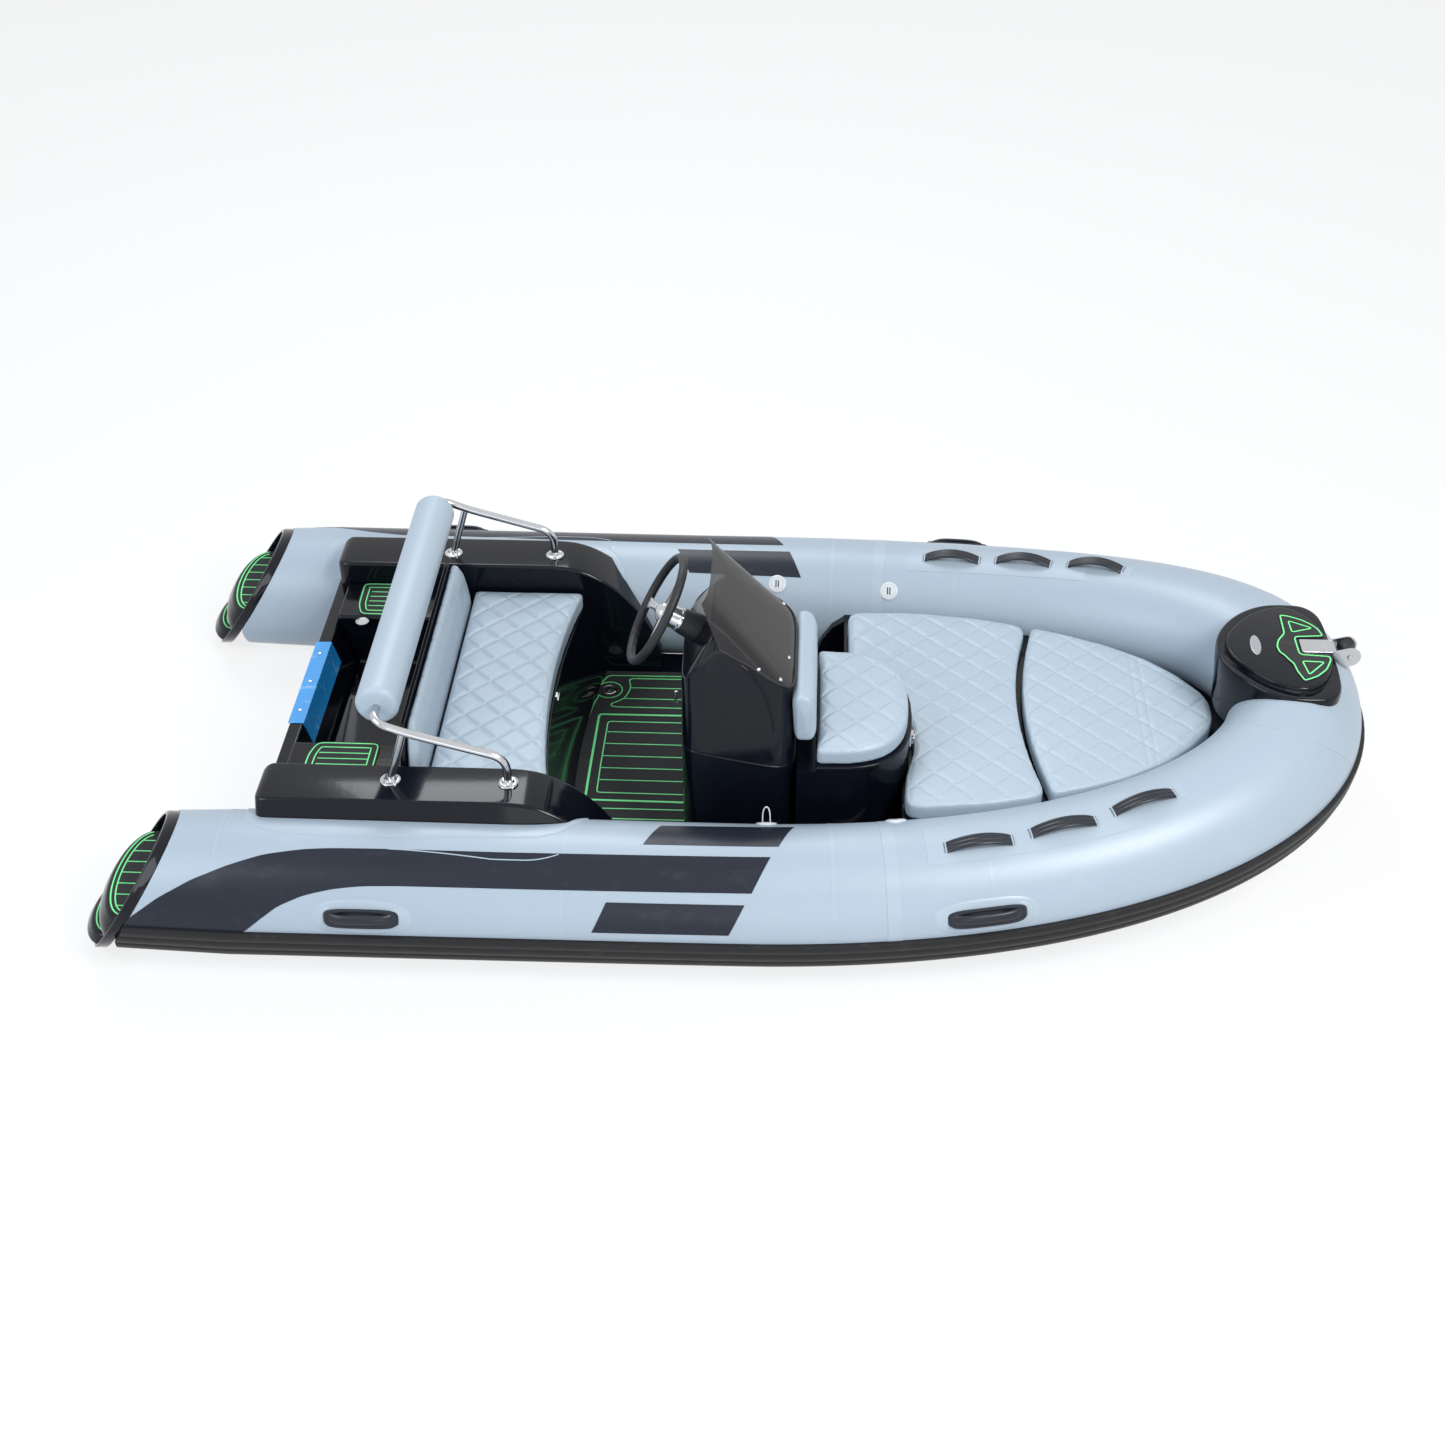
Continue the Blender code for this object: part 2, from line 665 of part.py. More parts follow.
def pipe_mesh(points, radius, sides=10):
    """A round bar along a list of points, with flat ends."""
    rings = []
    side = None
    for i, point in enumerate(points):
        before = points[max(0, i - 1)]
        after = points[min(len(points) - 1, i + 1)]
        tangent = (after - before).normalized()
        if side is None:
            guide = Vector((0, 0, 1)) if abs(tangent.z) < 0.9 else Vector((1, 0, 0))
            side = guide.cross(tangent).normalized()
        side = (side - tangent * side.dot(tangent)).normalized()
        other = tangent.cross(side)
        ring = []
        for k in range(sides):
            angle = 2.0 * math.pi * k / sides
            ring.append(point + radius * (math.cos(angle) * side + math.sin(angle) * other))
        rings.append(ring)
    return rings_mesh(rings)


def rounded_path(corners, radius, steps=4):
    """Straight runs through corner points, with each inner corner rounded."""
    path = [corners[0]]
    for before, corner, after in zip(corners, corners[1:], corners[2:]):
        start = corner + (before - corner).normalized() * radius
        end = corner + (after - corner).normalized() * radius
        for i in range(steps + 1):
            t = i / steps
            path.append(start * (1 - t) ** 2 + corner * (2 * t * (1 - t)) + end * t * t)
    path.append(corners[-1])
    return path


def stern_rail():
    """One bent tube: across inside the roll, forward along each side and down to the box."""
    seat = BOX_TOP + GAP
    joint = Vector((FLANGE_X[0] + STRUT_X, 0, ROLL_Z - STRUT_DROP))
    knee = Vector((FLANGE_X[1], 0, ROLL_Z - KNEE_DROP))
    corners = []
    for side in (1, -1):
        run = [Vector((FLANGE_X[1], side * RAIL_Y, seat - PIPE_R)), Vector((knee.x, side * RAIL_Y, knee.z)),
               Vector((joint.x, side * RAIL_Y, joint.z)), Vector((ROLL_X, side * RAIL_Y, ROLL_Z))]
        corners += run if side == 1 else list(reversed(run))
    rail = solid("stern_rail", pipe_mesh(rounded_path(corners, 0.048), PIPE_R), "stainless")
    for side in (1, -1):
        foot = Vector((FLANGE_X[0], side * RAIL_Y, seat - PIPE_R))
        top = Vector((joint.x, side * RAIL_Y, joint.z))
        carve(rail, solid("strut_tool", pipe_mesh([foot, top], PIPE_R), None), "UNION")
        for x in FLANGE_X:
            base = Vector((x, side * RAIL_Y, seat))
            disc = pipe_mesh([base, base + Vector((0, 0, FLANGE_T))], FLANGE_R, 14)
            carve(rail, solid("flange_tool", disc, None), "UNION")
    carve(rail, box("rail_foot_tool", (0.0, -1.0, seat - 0.1), (1.0, 1.0, seat), None))
    smooth(rail)
    sides = 20
    bore = (PIPE_R + GAP) / math.cos(math.pi / sides)
    loop = [(ROLL_HALF, bore), (ROLL_HALF, ROLL_R - 0.006), (ROLL_HALF - 0.006, ROLL_R),
            (0.006 - ROLL_HALF, ROLL_R), (-ROLL_HALF, ROLL_R - 0.006), (-ROLL_HALF, bore)]
    rings = []
    for k in range(sides):
        angle = 2.0 * math.pi * k / sides
        rings.append([Vector((ROLL_X + r * math.cos(angle), y, ROLL_Z + r * math.sin(angle))) for y, r in loop])
    smooth(solid("rail_roll", rings_mesh(rings, closed=True), "upholstery"))


def rounded_box_outline(aft, fwd, half, power, count=36):
    """A box with round corners seen from above, a superellipse about the console's middle."""
    middle = (aft + fwd) / 2
    reach = (fwd - aft) / 2
    points = []
    for i in range(count):
        angle = 2.0 * math.pi * (i + 0.5) / count
        c = math.cos(angle)
        s = math.sin(angle)
        x = middle + reach * math.copysign(abs(c) ** (2 / power), c)
        y = CONSOLE_Y + half * math.copysign(abs(s) ** (2 / power), s)
        points.append((x, y))
    return points


def rim_z(x):
    """The console's upper edge: up along the dash to a peak, then down along the cowl."""
    if x <= PEAK_X:
        share = (x - CONSOLE_AFT) / (PEAK_X - CONSOLE_AFT)
        return DASH_Z + (PEAK_Z - DASH_Z) * share
    share = (x - PEAK_X) / (COWL_FWD - PEAK_X)
    return PEAK_Z + (COWL_Z - PEAK_Z) * share ** 1.25


def rim_points(count):
    """The console's upper edge, which draws in towards the middle as it rises."""
    points = []
    for x, y in rounded_box_outline(CONSOLE_AFT, COWL_FWD, CONSOLE_HALF, 5.5, count):
        z = rim_z(x)
        share = 1.0 - CONSOLE_LEAN * (z - CONSOLE_SHOULDER) / CONSOLE_HALF
        points.append(Vector((x, CONSOLE_Y + (y - CONSOLE_Y) * share, z)))
    return points


def console():
    rings = []
    for z in (SOLE_Z + GAP, CONSOLE_SHOULDER):
        outline = rounded_box_outline(CONSOLE_AFT, CONSOLE_FWD, CONSOLE_HALF, 6.5)
        rings.append([Vector((x, y, z)) for x, y in outline])
    rim = rim_points(36)
    ridge = []
    for x, y, z in rim:
        ridge.append(Vector((RIDGE_X + (x - RIDGE_X) * 0.22, CONSOLE_Y + (y - CONSOLE_Y) * 0.72,
                             RIDGE_Z + (z - RIDGE_Z) * 0.20)))
    rings += [rim, ridge]
    body = solid("console", rings_mesh(rings, split=True), "gelcoat")
    smooth(body, 35.0)
    grown = new_object("console_cutter", body.data.copy(), None)
    for vertex in grown.data.vertices:
        vertex.co += vertex.normal * GAP * 1.5
    hide_tool(grown)


def windscreen():
    """A smoked sheet wrapped round the cowl; its side panels fan out from the top corners."""
    steps = 16
    front = [p for p in rim_points(144) if p.x >= PEAK_X + 0.004]
    front.sort(key=lambda p: math.atan2(p.y - CONSOLE_Y, p.x - PEAK_X))
    base = [front[round(i * (len(front) - 1) / steps)] for i in range(steps + 1)]
    rings = []
    for i, foot in enumerate(base):
        turn = math.atan2(foot.y - CONSOLE_Y, foot.x - PEAK_X) / SCREEN_FAN
        share = turn / (1.0 + turn ** 4) ** 0.25
        top = Vector((SCREEN_TOP_X - 0.020 * share ** 4, CONSOLE_Y + SCREEN_TOP_HALF * share, SCREEN_TOP_Z))
        before = base[max(0, i - 1)]
        after = base[min(steps, i + 1)]
        out = (after - before).cross(top - foot).normalized()
        inner = out * GAP
        outer = out * (GAP + SCREEN_T)
        raise_by = (top - foot).normalized() * GAP
        rings.append([foot + raise_by + inner, top + inner, top + outer, foot + raise_by + outer])
    screen = solid("windscreen", rings_mesh(rings, split=True), "acrylic")
    carve(screen, bpy.data.objects["console_cutter"])
    smooth(screen)


def console_front(z):
    """The console's front face, which leans aft above its shoulder."""
    share = max(0.0, (z - CONSOLE_SHOULDER) / (COWL_Z - CONSOLE_SHOULDER))
    return CONSOLE_FWD + (COWL_FWD - CONSOLE_FWD) * share + GAP


def backrest():
    low, high = BACKREST_Z
    front = console_front(0.0) + BACKREST_T
    rear = console_front(high)
    profile = [(console_front(low), low), (front - 0.004, low), (front, low + 0.010), (front - 0.004, high - 0.040),
               (front - 0.014, high - 0.008), (rear + 0.016, high), (rear + 0.004, high - 0.008),
               (console_front(high - 0.020), high - 0.020)]
    thing = prism("seat_backrest", profile, CONSOLE_Y - BACKREST_HALF, CONSOLE_Y + BACKREST_HALF,
                  "upholstery", axis="y")
    smooth(thing, 60.0)


def seat_outline(rear, grow, steps=20):
    """The console seat from above: straight at the back, round in front."""
    curve = []
    for i in range(steps + 1):
        angle = math.pi * (i / steps - 0.5)
        x = rear + (SEAT_FWD - rear) * abs(math.cos(angle)) ** 0.62
        y = CONSOLE_Y + SEAT_HALF * math.copysign(abs(math.sin(angle)) ** 0.80, math.sin(angle))
        curve.append(Vector((x, y)))
    points = []
    for i, point in enumerate(curve):
        along = curve[min(steps, i + 1)] - curve[max(0, i - 1)]
        if i in (0, steps):
            along = Vector((1.0 if i == 0 else -1.0, 0.0))
        out = Vector((along.y, -along.x)).normalized()
        points.append((point.x + out.x * grow, point.y + out.y * grow))
    return points


def seat():
    floor = SOLE_Z + GAP
    rear = CONSOLE_FWD + GAP
    hinge = rear + BACKREST_T + RUNNING
    body = prism("seat_box", seat_outline(rear, 0.0), floor, SEAT_BOX_TOP, "gelcoat")
    inner = seat_outline(hinge + LOCKER_WALL, -LOCKER_WALL)
    carve(body, bpy.data.objects["hull_tool"])
    carve(body, prism("seat_locker_tool", inner, floor + LOCKER_WALL, SEAT_BOX_TOP + 0.1, None))
    lid_low = SEAT_BOX_TOP + GAP
    lid_high = SEAT_BOX_TOP + SEAT_LID_T
    prism("seat_lid", seat_outline(hinge, 0.002), lid_low, lid_high, "gelcoat")
    top = lid_high + SEAT_CUSHION_T
    smooth(prism("seat_cushion", seat_outline(hinge, -0.003), lid_high + GAP, top, "upholstery"))


def wheel_axes():
    """The wheel's centre, its axis towards the driver, and two directions across it."""
    centre = Vector((WHEEL_X, CONSOLE_Y, WHEEL_Z))
    axis = Vector((-math.cos(WHEEL_TILT), 0.0, math.sin(WHEEL_TILT)))
    across = Vector((0.0, 1.0, 0.0))
    upward = Vector((math.sin(WHEEL_TILT), 0.0, math.cos(WHEEL_TILT)))
    return centre, axis, across, upward


def rim_mesh(thick):
    centre, axis, across, upward = wheel_axes()
    rings = []
    for i in range(28):
        turn = 2.0 * math.pi * i / 28
        radial = math.cos(turn) * across + math.sin(turn) * upward
        ring = []
        for k in range(8):
            angle = 2.0 * math.pi * k / 8
            ring.append(radial * (WHEEL_R + thick * math.cos(angle)) + axis * (thick * math.sin(angle)))
        rings.append(ring)
    return rings_mesh(rings, closed=True)


def steering():
    """Rim and spoked hub, which turn, and the boss on the dash, which doesn't."""
    centre, axis, across, upward = wheel_axes()
    rim = solid("steering_rim", rim_mesh(WHEEL_RIM), "rim_rubber")
    smooth(rim, 60.0)
    back = -0.036 * axis
    hub = solid("steering_hub", pipe_mesh([back, back + axis * HUB_T], HUB_R, 16), "stainless")
    for i in range(SPOKES):
        turn = math.radians(90.0 + 360.0 * i / SPOKES)
        radial = math.cos(turn) * across + math.sin(turn) * upward
        spoke = pipe_mesh([back + axis * 0.014 + radial * HUB_R * 0.5, radial * WHEEL_R], SPOKE_R, 8)
        carve(hub, move(solid("spoke_tool", spoke, None), centre), "UNION")
    carve(hub, move(solid("rim_tool", rim_mesh(WHEEL_RIM + GAP), None), centre))
    for thing in (rim, hub):
        thing.location = centre
    slope = (PEAK_Z - DASH_Z) / (PEAK_X - CONSOLE_AFT)
    reach = (WHEEL_Z - DASH_Z - slope * (WHEEL_X - CONSOLE_AFT)) / (
        slope * math.cos(WHEEL_TILT) + math.sin(WHEEL_TILT))
    near = centre + back - axis * GAP
    far = centre - axis * (reach + 0.02)
    boss = solid("helm_boss", pipe_mesh([near, far], BOSS_R, 18), "gelcoat")
    carve(boss, bpy.data.objects["console_cutter"])
    smooth(boss)


def move(thing, place):
    thing.location = place
    return thing


def bow_rows():
    """Port edge of the bow deck, where it meets the collar."""
    rows = []
    for point, tangent, out, up in frames(half_path(CAP_X))[2:]:
        rise = BOW_DECK_Z - point.z
        reach = math.sqrt(tube_r(point.x) ** 2 - rise ** 2) + GAP
        side = point - out * reach
        if side.y > 0.05:
            rows.append((side.x, side.y))
    return rows


def edge_y(rows, x):
    for (x_low, y_low), (x_high, y_high) in zip(rows, rows[1:]):
        if x_low <= x <= x_high:
            return y_low + (y_high - y_low) * (x - x_low) / (x_high - x_low)
    return rows[0][1]


def bow_outline(rows, grow):
    """Port edge to the tip, back down the starboard edge, then round the console seat."""
    port_x = BOW_DECK_X + grow
    starboard_x = STBD_DECK_X + grow
    port = [(port_x, edge_y(rows, port_x))] + [(x, y) for x, y in rows if x > port_x]
    starboard = [(x, -y) for x, y in reversed(rows) if x > starboard_x]
    starboard.append((starboard_x, -edge_y(rows, starboard_x)))
    seat = seat_outline(CONSOLE_FWD + GAP, grow)
    around = [(x, y) for x, y in seat if x > (starboard_x if y < CONSOLE_Y else port_x)]
    beside = sorted((x, y) for x, y in seat if y > CONSOLE_Y)
    return port + starboard + around + [(port_x, edge_y(beside, port_x))]


def bow_deck():
    """The raised locker in the bow, between the collar's sides and on the hull."""
    outline = bow_outline(bow_rows(), GAP)
    thing = prism("bow_locker", outline, SOLE_Z + GAP, BOW_DECK_Z, "gelcoat")
    sweep = [(BOW_DECK_X + 0.020, SOLE_Z + GAP), (1.610, SOLE_Z + GAP), (1.635, 0.120), (1.657, 0.190),
             (1.690, 0.240), (BOW_DECK_X + 0.005, BOW_DECK_Z), (BOW_DECK_X + 0.020, BOW_DECK_Z)]
    carve(thing, prism("locker_wing_tool", sweep, WALL_Y, TUBE_Y, None, axis="y"), "UNION")
    carve(thing, bpy.data.objects["collar_cutter"])
    carve(thing, bpy.data.objects["hull_tool"])


def split_x(y, shift):
    return CUSHION_SPLIT_X + shift + CUSHION_SPLIT_BOW * (y / 0.42) ** 2


def bow_cushions():
    low = BOW_DECK_Z + GAP
    high = BOW_DECK_Z + BOW_CUSHION_T
    outline = bow_outline(BOW_CUSHION_EDGE, 0.008)
    half = 0.7
    steps = 14
    ys = [-half + 2 * half * i / steps for i in range(steps + 1)]
    gap = 0.006
    for name, sign in (("bow_cushion_aft", 1), ("bow_cushion_fwd", -1)):
        cushion = prism(name, outline, low, high, "upholstery")
        edge = [(split_x(y, -sign * gap), y) for y in ys]
        far = CUSHION_SPLIT_X + sign * 1.5
        tool = prism(f"{name}_tool", edge + [(far, half), (far, -half)], low - 0.05, high + 0.05, None)
        carve(cushion, tool)
        smooth(cushion)


def step_ring(edge, z, share=1.0):
    """One of the bow step's outlines at a height, drawn in towards its middle by a share."""
    middle = edge[4][0]
    port = [Vector((BOW_X + middle + (x - middle) * share, y * share, z)) for x, y in edge]
    return port + [Vector((p.x, -p.y, p.z)) for p in reversed(port[1:-1])]


def bow_step():
    """A moulded saddle over the bow of the collar with a raised, rounded deck."""
    rings = [step_ring(SKIRT_EDGE, SKIRT_Z, 1.0 - SKIRT_LEAN), step_ring(SKIRT_EDGE, SKIRT_TOP - 0.006),
             step_ring(SKIRT_EDGE, SKIRT_TOP, 0.985), step_ring(STEP_EDGE, SKIRT_TOP + 0.010, 1.03),
             step_ring(STEP_EDGE, STEP_Z - 0.004), step_ring(STEP_EDGE, STEP_Z, 0.98)]
    thing = solid("bow_step", rings_mesh(rings, split=True), "gelcoat")
    carve(thing, bpy.data.objects["collar_cutter"])
    smooth(thing)


def roller():
    """A plate on the bow step with two cheeks in front, and the roller between them."""
    low = STEP_Z + GAP
    high = low + BRACKET_T
    half = ROLLER_HALF + 0.001 + BRACKET_T
    front = SKIRT_FRONT + 0.002
    plate = box("bow_roller_bracket", (ROLLER_X - 0.146, -half, low), (front, half, high), "stainless")
    centre = Vector((ROLLER_X, 0.0, ROLLER_Z))
    cheek = arc((ROLLER_X, ROLLER_Z), CHEEK_R, 100.0, -140.0, 14) + [(front - 0.010, low), (front - 0.010, high)]
    for side in (1, -1):
        y = sorted((side * (half - BRACKET_T), side * half))
        carve(plate, prism("cheek_tool", cheek, y[0], y[1], None, axis="y"), "UNION")
    reach = Vector((0.0, half + 0.003, 0.0))
    hole = pipe_mesh([centre - reach * 2, centre + reach * 2], AXLE_R + 2 * GAP, 14)
    carve(plate, solid("axle_hole_tool", hole, None))
    profile = [(-half - 0.003, AXLE_R), (-ROLLER_HALF, AXLE_R), (-ROLLER_HALF, ROLLER_R),
               (0.0, ROLLER_R - 0.007), (ROLLER_HALF, ROLLER_R), (ROLLER_HALF, AXLE_R), (half + 0.003, AXLE_R)]
    rings = []
    for y, radius in profile:
        ring = []
        for k in range(14):
            angle = 2.0 * math.pi * k / 14
            ring.append(Vector((radius * math.cos(angle), y, radius * math.sin(angle))))
        rings.append(ring)
    wheel = solid("bow_roller", rings_mesh(rings), "rub_rubber")
    wheel.location = centre


def collar_spot(x, angle, side):
    """A point on the collar's skin with its normal, tangent and cross direction."""
    port = frames(half_path(CAP_X))
    for (before, _, _, _), (after, _, _, _) in zip(port, port[1:]):
        if before.x <= x <= after.x:
            share = (x - before.x) / (after.x - before.x)
            point = before.lerp(after, share)
            radius = tube_r(point.x)
            tangent = (after - before).normalized()
            break
    out = Vector((0.0, 0.0, 1.0)).cross(tangent).normalized()
    up = tangent.cross(out)
    turn = math.radians(angle)
    normal = math.cos(turn) * out + math.sin(turn) * up
    point = point + normal * radius
    cross = tangent.cross(normal)
    flip = Vector((1.0, side, 1.0))
    return [Vector((v.x * flip.x, v.y * flip.y, v.z * flip.z)) for v in (point, normal, tangent, cross)]


def handle(name, place, angle, span, width, rise, side):
    """A strip whose two feet lie on the collar and whose middle arches over it."""
    point, normal, tangent, cross = collar_spot(place, angle, side)
    arch = span / 2 - HANDLE_FOOT
    steps = 8
    outer = []
    inner = []
    for i in range(steps + 1):
        s = -arch + 2 * arch * i / steps
        lift = rise * math.sin(math.pi * i / steps)
        outer.append((s, HANDLE_T + lift))
        if 0 < i < steps:
            inner.append((s, lift))
    sunk = -0.020
    outline = [(-span / 2, sunk), (-span / 2, HANDLE_T)] + outer + [(span / 2, HANDLE_T), (span / 2, sunk)]
    outline += [(arch + 0.002, sunk), (arch + 0.002, 0.002)] + inner[::-1]
    outline += [(-arch - 0.002, 0.002), (-arch - 0.002, sunk)]
    rings = []
    for w in (-width / 2, width / 2):
        rings.append([point + tangent * s + normal * h + cross * w for s, h in outline])
    thing = solid(name, rings_mesh(rings), "webbing")
    carve(thing, bpy.data.objects["collar_cutter"])


def build():
    clear_scene()
    collar_cutter()
    chambers()
    rub_rail()
    sole_recess()
    hull()
    hide_tool(hull("hull_tool", GAP, HULL_TOOL_DROP, None))
    sole()
    transom()
    stern_deck()
    bench()
    stern_rail()
    console()
    windscreen()
    backrest()
    seat()
    steering()
    bow_deck()
    bow_cushions()
    bow_step()
    roller()
    for label, side in SIDES:
        stern_cap(label, side)
        side_box(label, side)
        for name, place, port, starboard, span, width, rise in HANDLES:
            handle(f"{name}_{label}", place, port if side > 0 else starboard, span, width, rise, side)
    hide_tool(bpy.data.objects["collar_cutter"])


build()
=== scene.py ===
# %% [markdown]
# # A rigid inflatable boat, dressed
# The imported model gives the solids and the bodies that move. This lesson puts the finished surfaces
# round it: an air-filled collar with its decals and handles, glossy moulded boxes, foam decking with
# green lines, quilted cushions and bright metal. Every surface is worked out with numpy on a grid, so
# that its shape can be read as a formula, and all of it is in metres in the model's own frame: +X to
# the bow, +Y to port, +Z up, with the waterline at zero.

import math

import bmesh
import bpy
import numpy as np
from mathutils import Matrix, Vector


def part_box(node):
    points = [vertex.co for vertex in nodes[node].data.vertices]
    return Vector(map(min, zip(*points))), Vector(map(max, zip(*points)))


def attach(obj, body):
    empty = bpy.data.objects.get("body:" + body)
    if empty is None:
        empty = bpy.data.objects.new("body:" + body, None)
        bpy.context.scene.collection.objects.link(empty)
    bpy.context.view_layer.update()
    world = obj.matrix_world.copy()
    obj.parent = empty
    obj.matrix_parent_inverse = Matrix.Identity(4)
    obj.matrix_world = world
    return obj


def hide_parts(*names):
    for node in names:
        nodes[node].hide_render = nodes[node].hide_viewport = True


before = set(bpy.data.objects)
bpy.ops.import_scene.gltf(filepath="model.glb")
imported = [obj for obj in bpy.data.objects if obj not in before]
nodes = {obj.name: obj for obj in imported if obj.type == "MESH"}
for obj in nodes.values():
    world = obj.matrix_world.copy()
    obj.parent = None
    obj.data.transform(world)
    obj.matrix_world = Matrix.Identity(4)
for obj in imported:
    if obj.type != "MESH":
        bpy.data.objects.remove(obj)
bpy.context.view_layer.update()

# %% [markdown]
# ## Points into meshes
# A shell is a pair: an array of points and a list of faces that index it. Grids, lofts and slabs make
# shells, and add_piece joins any number of them into one mesh, closes doubled points, turns the faces
# outward and lets it ride on a body. It could be done with Blender's own primitives, but a grid keeps
# the formula of each surface in sight.

# %% Shells and pieces
def grid_faces(rows, columns, wrap_rows=False, wrap_columns=True):
    """Each quad joins a point with its neighbours in the next column and the next row."""
    i, j = np.meshgrid(np.arange(rows - (not wrap_rows)), np.arange(columns - (not wrap_columns)), indexing="ij")
    i, j = i.ravel(), j.ravel()
    below, beside = (i + 1) % rows, (j + 1) % columns
    return np.column_stack([i * columns + j, i * columns + beside,
                            below * columns + beside, below * columns + j]).tolist()


def loft(rings, looped=False):
    """Rings of equal count joined in order; flat faces close the first and last unless they loop."""
    rings = np.asarray(rings, float)
    rows, columns = rings.shape[:2]
    faces = grid_faces(rows, columns, looped)
    if not looped:
        faces += [list(range(columns)), list(range((rows - 1) * columns, rows * columns))]
    return rings.reshape(-1, 3), faces


def slab(outer, inner, looped=False):
    """Two equal grids, one over the other, closed round their edges."""
    rings = np.concatenate([outer, inner[:, ::-1]], axis=1)
    rows, columns = rings.shape[:2]
    faces = grid_faces(rows, columns, looped)
    if not looped:
        j = np.arange(columns // 2 - 1)
        end = np.column_stack([j, j + 1, columns - 2 - j, columns - 1 - j])
        faces += end.tolist() + (end + (rows - 1) * columns).tolist()
    return rings.reshape(-1, 3), faces


def add_piece(name, shells, material, body="boat", stands_for=(), sharp=38.0):
    """Join shells into one smooth, outward-facing mesh that rides on a body."""
    points, faces, start = [], [], 0
    for shell_points, shell_faces in shells:
        points.append(shell_points)
        faces += [[start + k for k in face] for face in shell_faces]
        start += len(shell_points)
    data = bpy.data.meshes.new(name)
    data.from_pydata(np.concatenate(points).tolist(), [], faces)
    work = bmesh.new()
    work.from_mesh(data)
    bmesh.ops.remove_doubles(work, verts=work.verts, dist=1e-6)
    bmesh.ops.recalc_face_normals(work, faces=work.faces)
    work.to_mesh(data)
    work.free()
    return finish_piece(name, data, material, body, stands_for, sharp)


def finish_piece(name, data, material, body="boat", stands_for=(), sharp=38.0):
    """A mesh becomes a shown piece with its material, its body and what it stands for."""
    data.shade_smooth()
    data.set_sharp_from_angle(angle=math.radians(sharp))
    data.materials.clear()
    data.materials.append(material)
    thing = bpy.data.objects.new(name, data)
    bpy.context.scene.collection.objects.link(thing)
    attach(thing, body)
    if stands_for:
        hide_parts(*stands_for)
    return thing


# %% [markdown]
# ## Curves in plan and bars along a path
# Pads, lines and cushions start as outlines seen from above. An outline is evened to short steps, its
# corners are softened by a moving mean, and insets follow its normals. Bars carry a circle along a path.

# %% Outlines, plates, ribbons, bars and turned shapes
def evened(corners, step, soften=0.0, looped=True):
    """Points a step apart along runs through the corners; a mean over the soften length, taken twice,
    rounds the corners."""
    corners = np.asarray(corners, float)
    path = np.vstack([corners, corners[:1]]) if looped else corners
    length = np.concatenate([[0.0], np.cumsum(np.linalg.norm(np.diff(path, axis=0), axis=1))])
    count = max(8, int(round(length[-1] / step)))
    at = np.linspace(0.0, length[-1], count, endpoint=not looped)
    points = np.column_stack([np.interp(at, length, path[:, k]) for k in range(path.shape[1])])
    reach = int(round(soften / step / 2))
    for _ in range(2 if reach else 0):
        if looped:
            padded = np.vstack([points[-reach:], points, points[:reach]])
        else:
            head, tail = 2 * points[:1] - points[reach:0:-1], 2 * points[-1:] - points[-2:-reach - 2:-1]
            padded = np.vstack([head, points, tail])
        sums = np.cumsum(np.vstack([np.zeros((1, points.shape[1])), padded]), axis=0)
        points = (sums[2 * reach + 1:] - sums[:-2 * reach - 1]) / (2 * reach + 1)
    return points


def inset(outline, distance):
    """Each point moves along the inward normal of its neighbours' chord."""
    chord = np.roll(outline, -1, axis=0) - np.roll(outline, 1, axis=0)
    chord /= np.linalg.norm(chord, axis=1)[:, None]
    area = np.sum(outline[:, 0] * np.roll(outline[:, 1], -1) - np.roll(outline[:, 0], -1) * outline[:, 1])
    inward = np.column_stack([-chord[:, 1], chord[:, 0]]) * math.copysign(1.0, area)
    return outline + inward * distance


def at_height(outline, z):
    return np.column_stack([outline, np.broadcast_to(z, len(outline))])


def plate(outline, low, high, edge=0.0):
    """An outline carried up, its top edge rounded as a quarter circle of the given radius."""
    rings = [at_height(outline, low)]
    if edge:
        for turn in np.linspace(0.0, math.pi / 2, 5):
            rings.append(at_height(inset(outline, edge * (1 - math.cos(turn))), high - edge * (1 - math.sin(turn))))
    else:
        rings.append(at_height(outline, high))
    return loft(rings)


def ribbon(line, width, low, high, looped=False):
    """A flat strip of one width along a line in plan, raised from low to high."""
    line = np.asarray(line, float)
    if looped:
        chord = np.roll(line, -1, axis=0) - np.roll(line, 1, axis=0)
    else:
        chord = np.gradient(line, axis=0)
    chord /= np.linalg.norm(chord, axis=1)[:, None]
    side = np.column_stack([-chord[:, 1], chord[:, 0]]) * width / 2
    outer = np.stack([at_height(line + side, high), at_height(line - side, high)], axis=1)
    inner = outer - np.array([0.0, 0.0, high - low])
    return slab(outer, inner, looped)


def bar(path, radius, sides=16):
    """A circle of the radius, or of a radius for each point, carried along a path in space."""
    path = np.asarray(path, float)
    tangent = np.gradient(path, axis=0)
    tangent /= np.linalg.norm(tangent, axis=1)[:, None]
    guide = np.array([0.437, 0.281, 0.854])
    side = np.cross(guide, tangent)
    side /= np.linalg.norm(side, axis=1)[:, None]
    other = np.cross(tangent, side)
    turn = np.linspace(0.0, 2 * math.pi, sides, endpoint=False)
    circle = np.cos(turn)[None, :, None] * side[:, None] + np.sin(turn)[None, :, None] * other[:, None]
    return loft(path[:, None] + circle * np.broadcast_to(radius, len(path))[:, None, None])


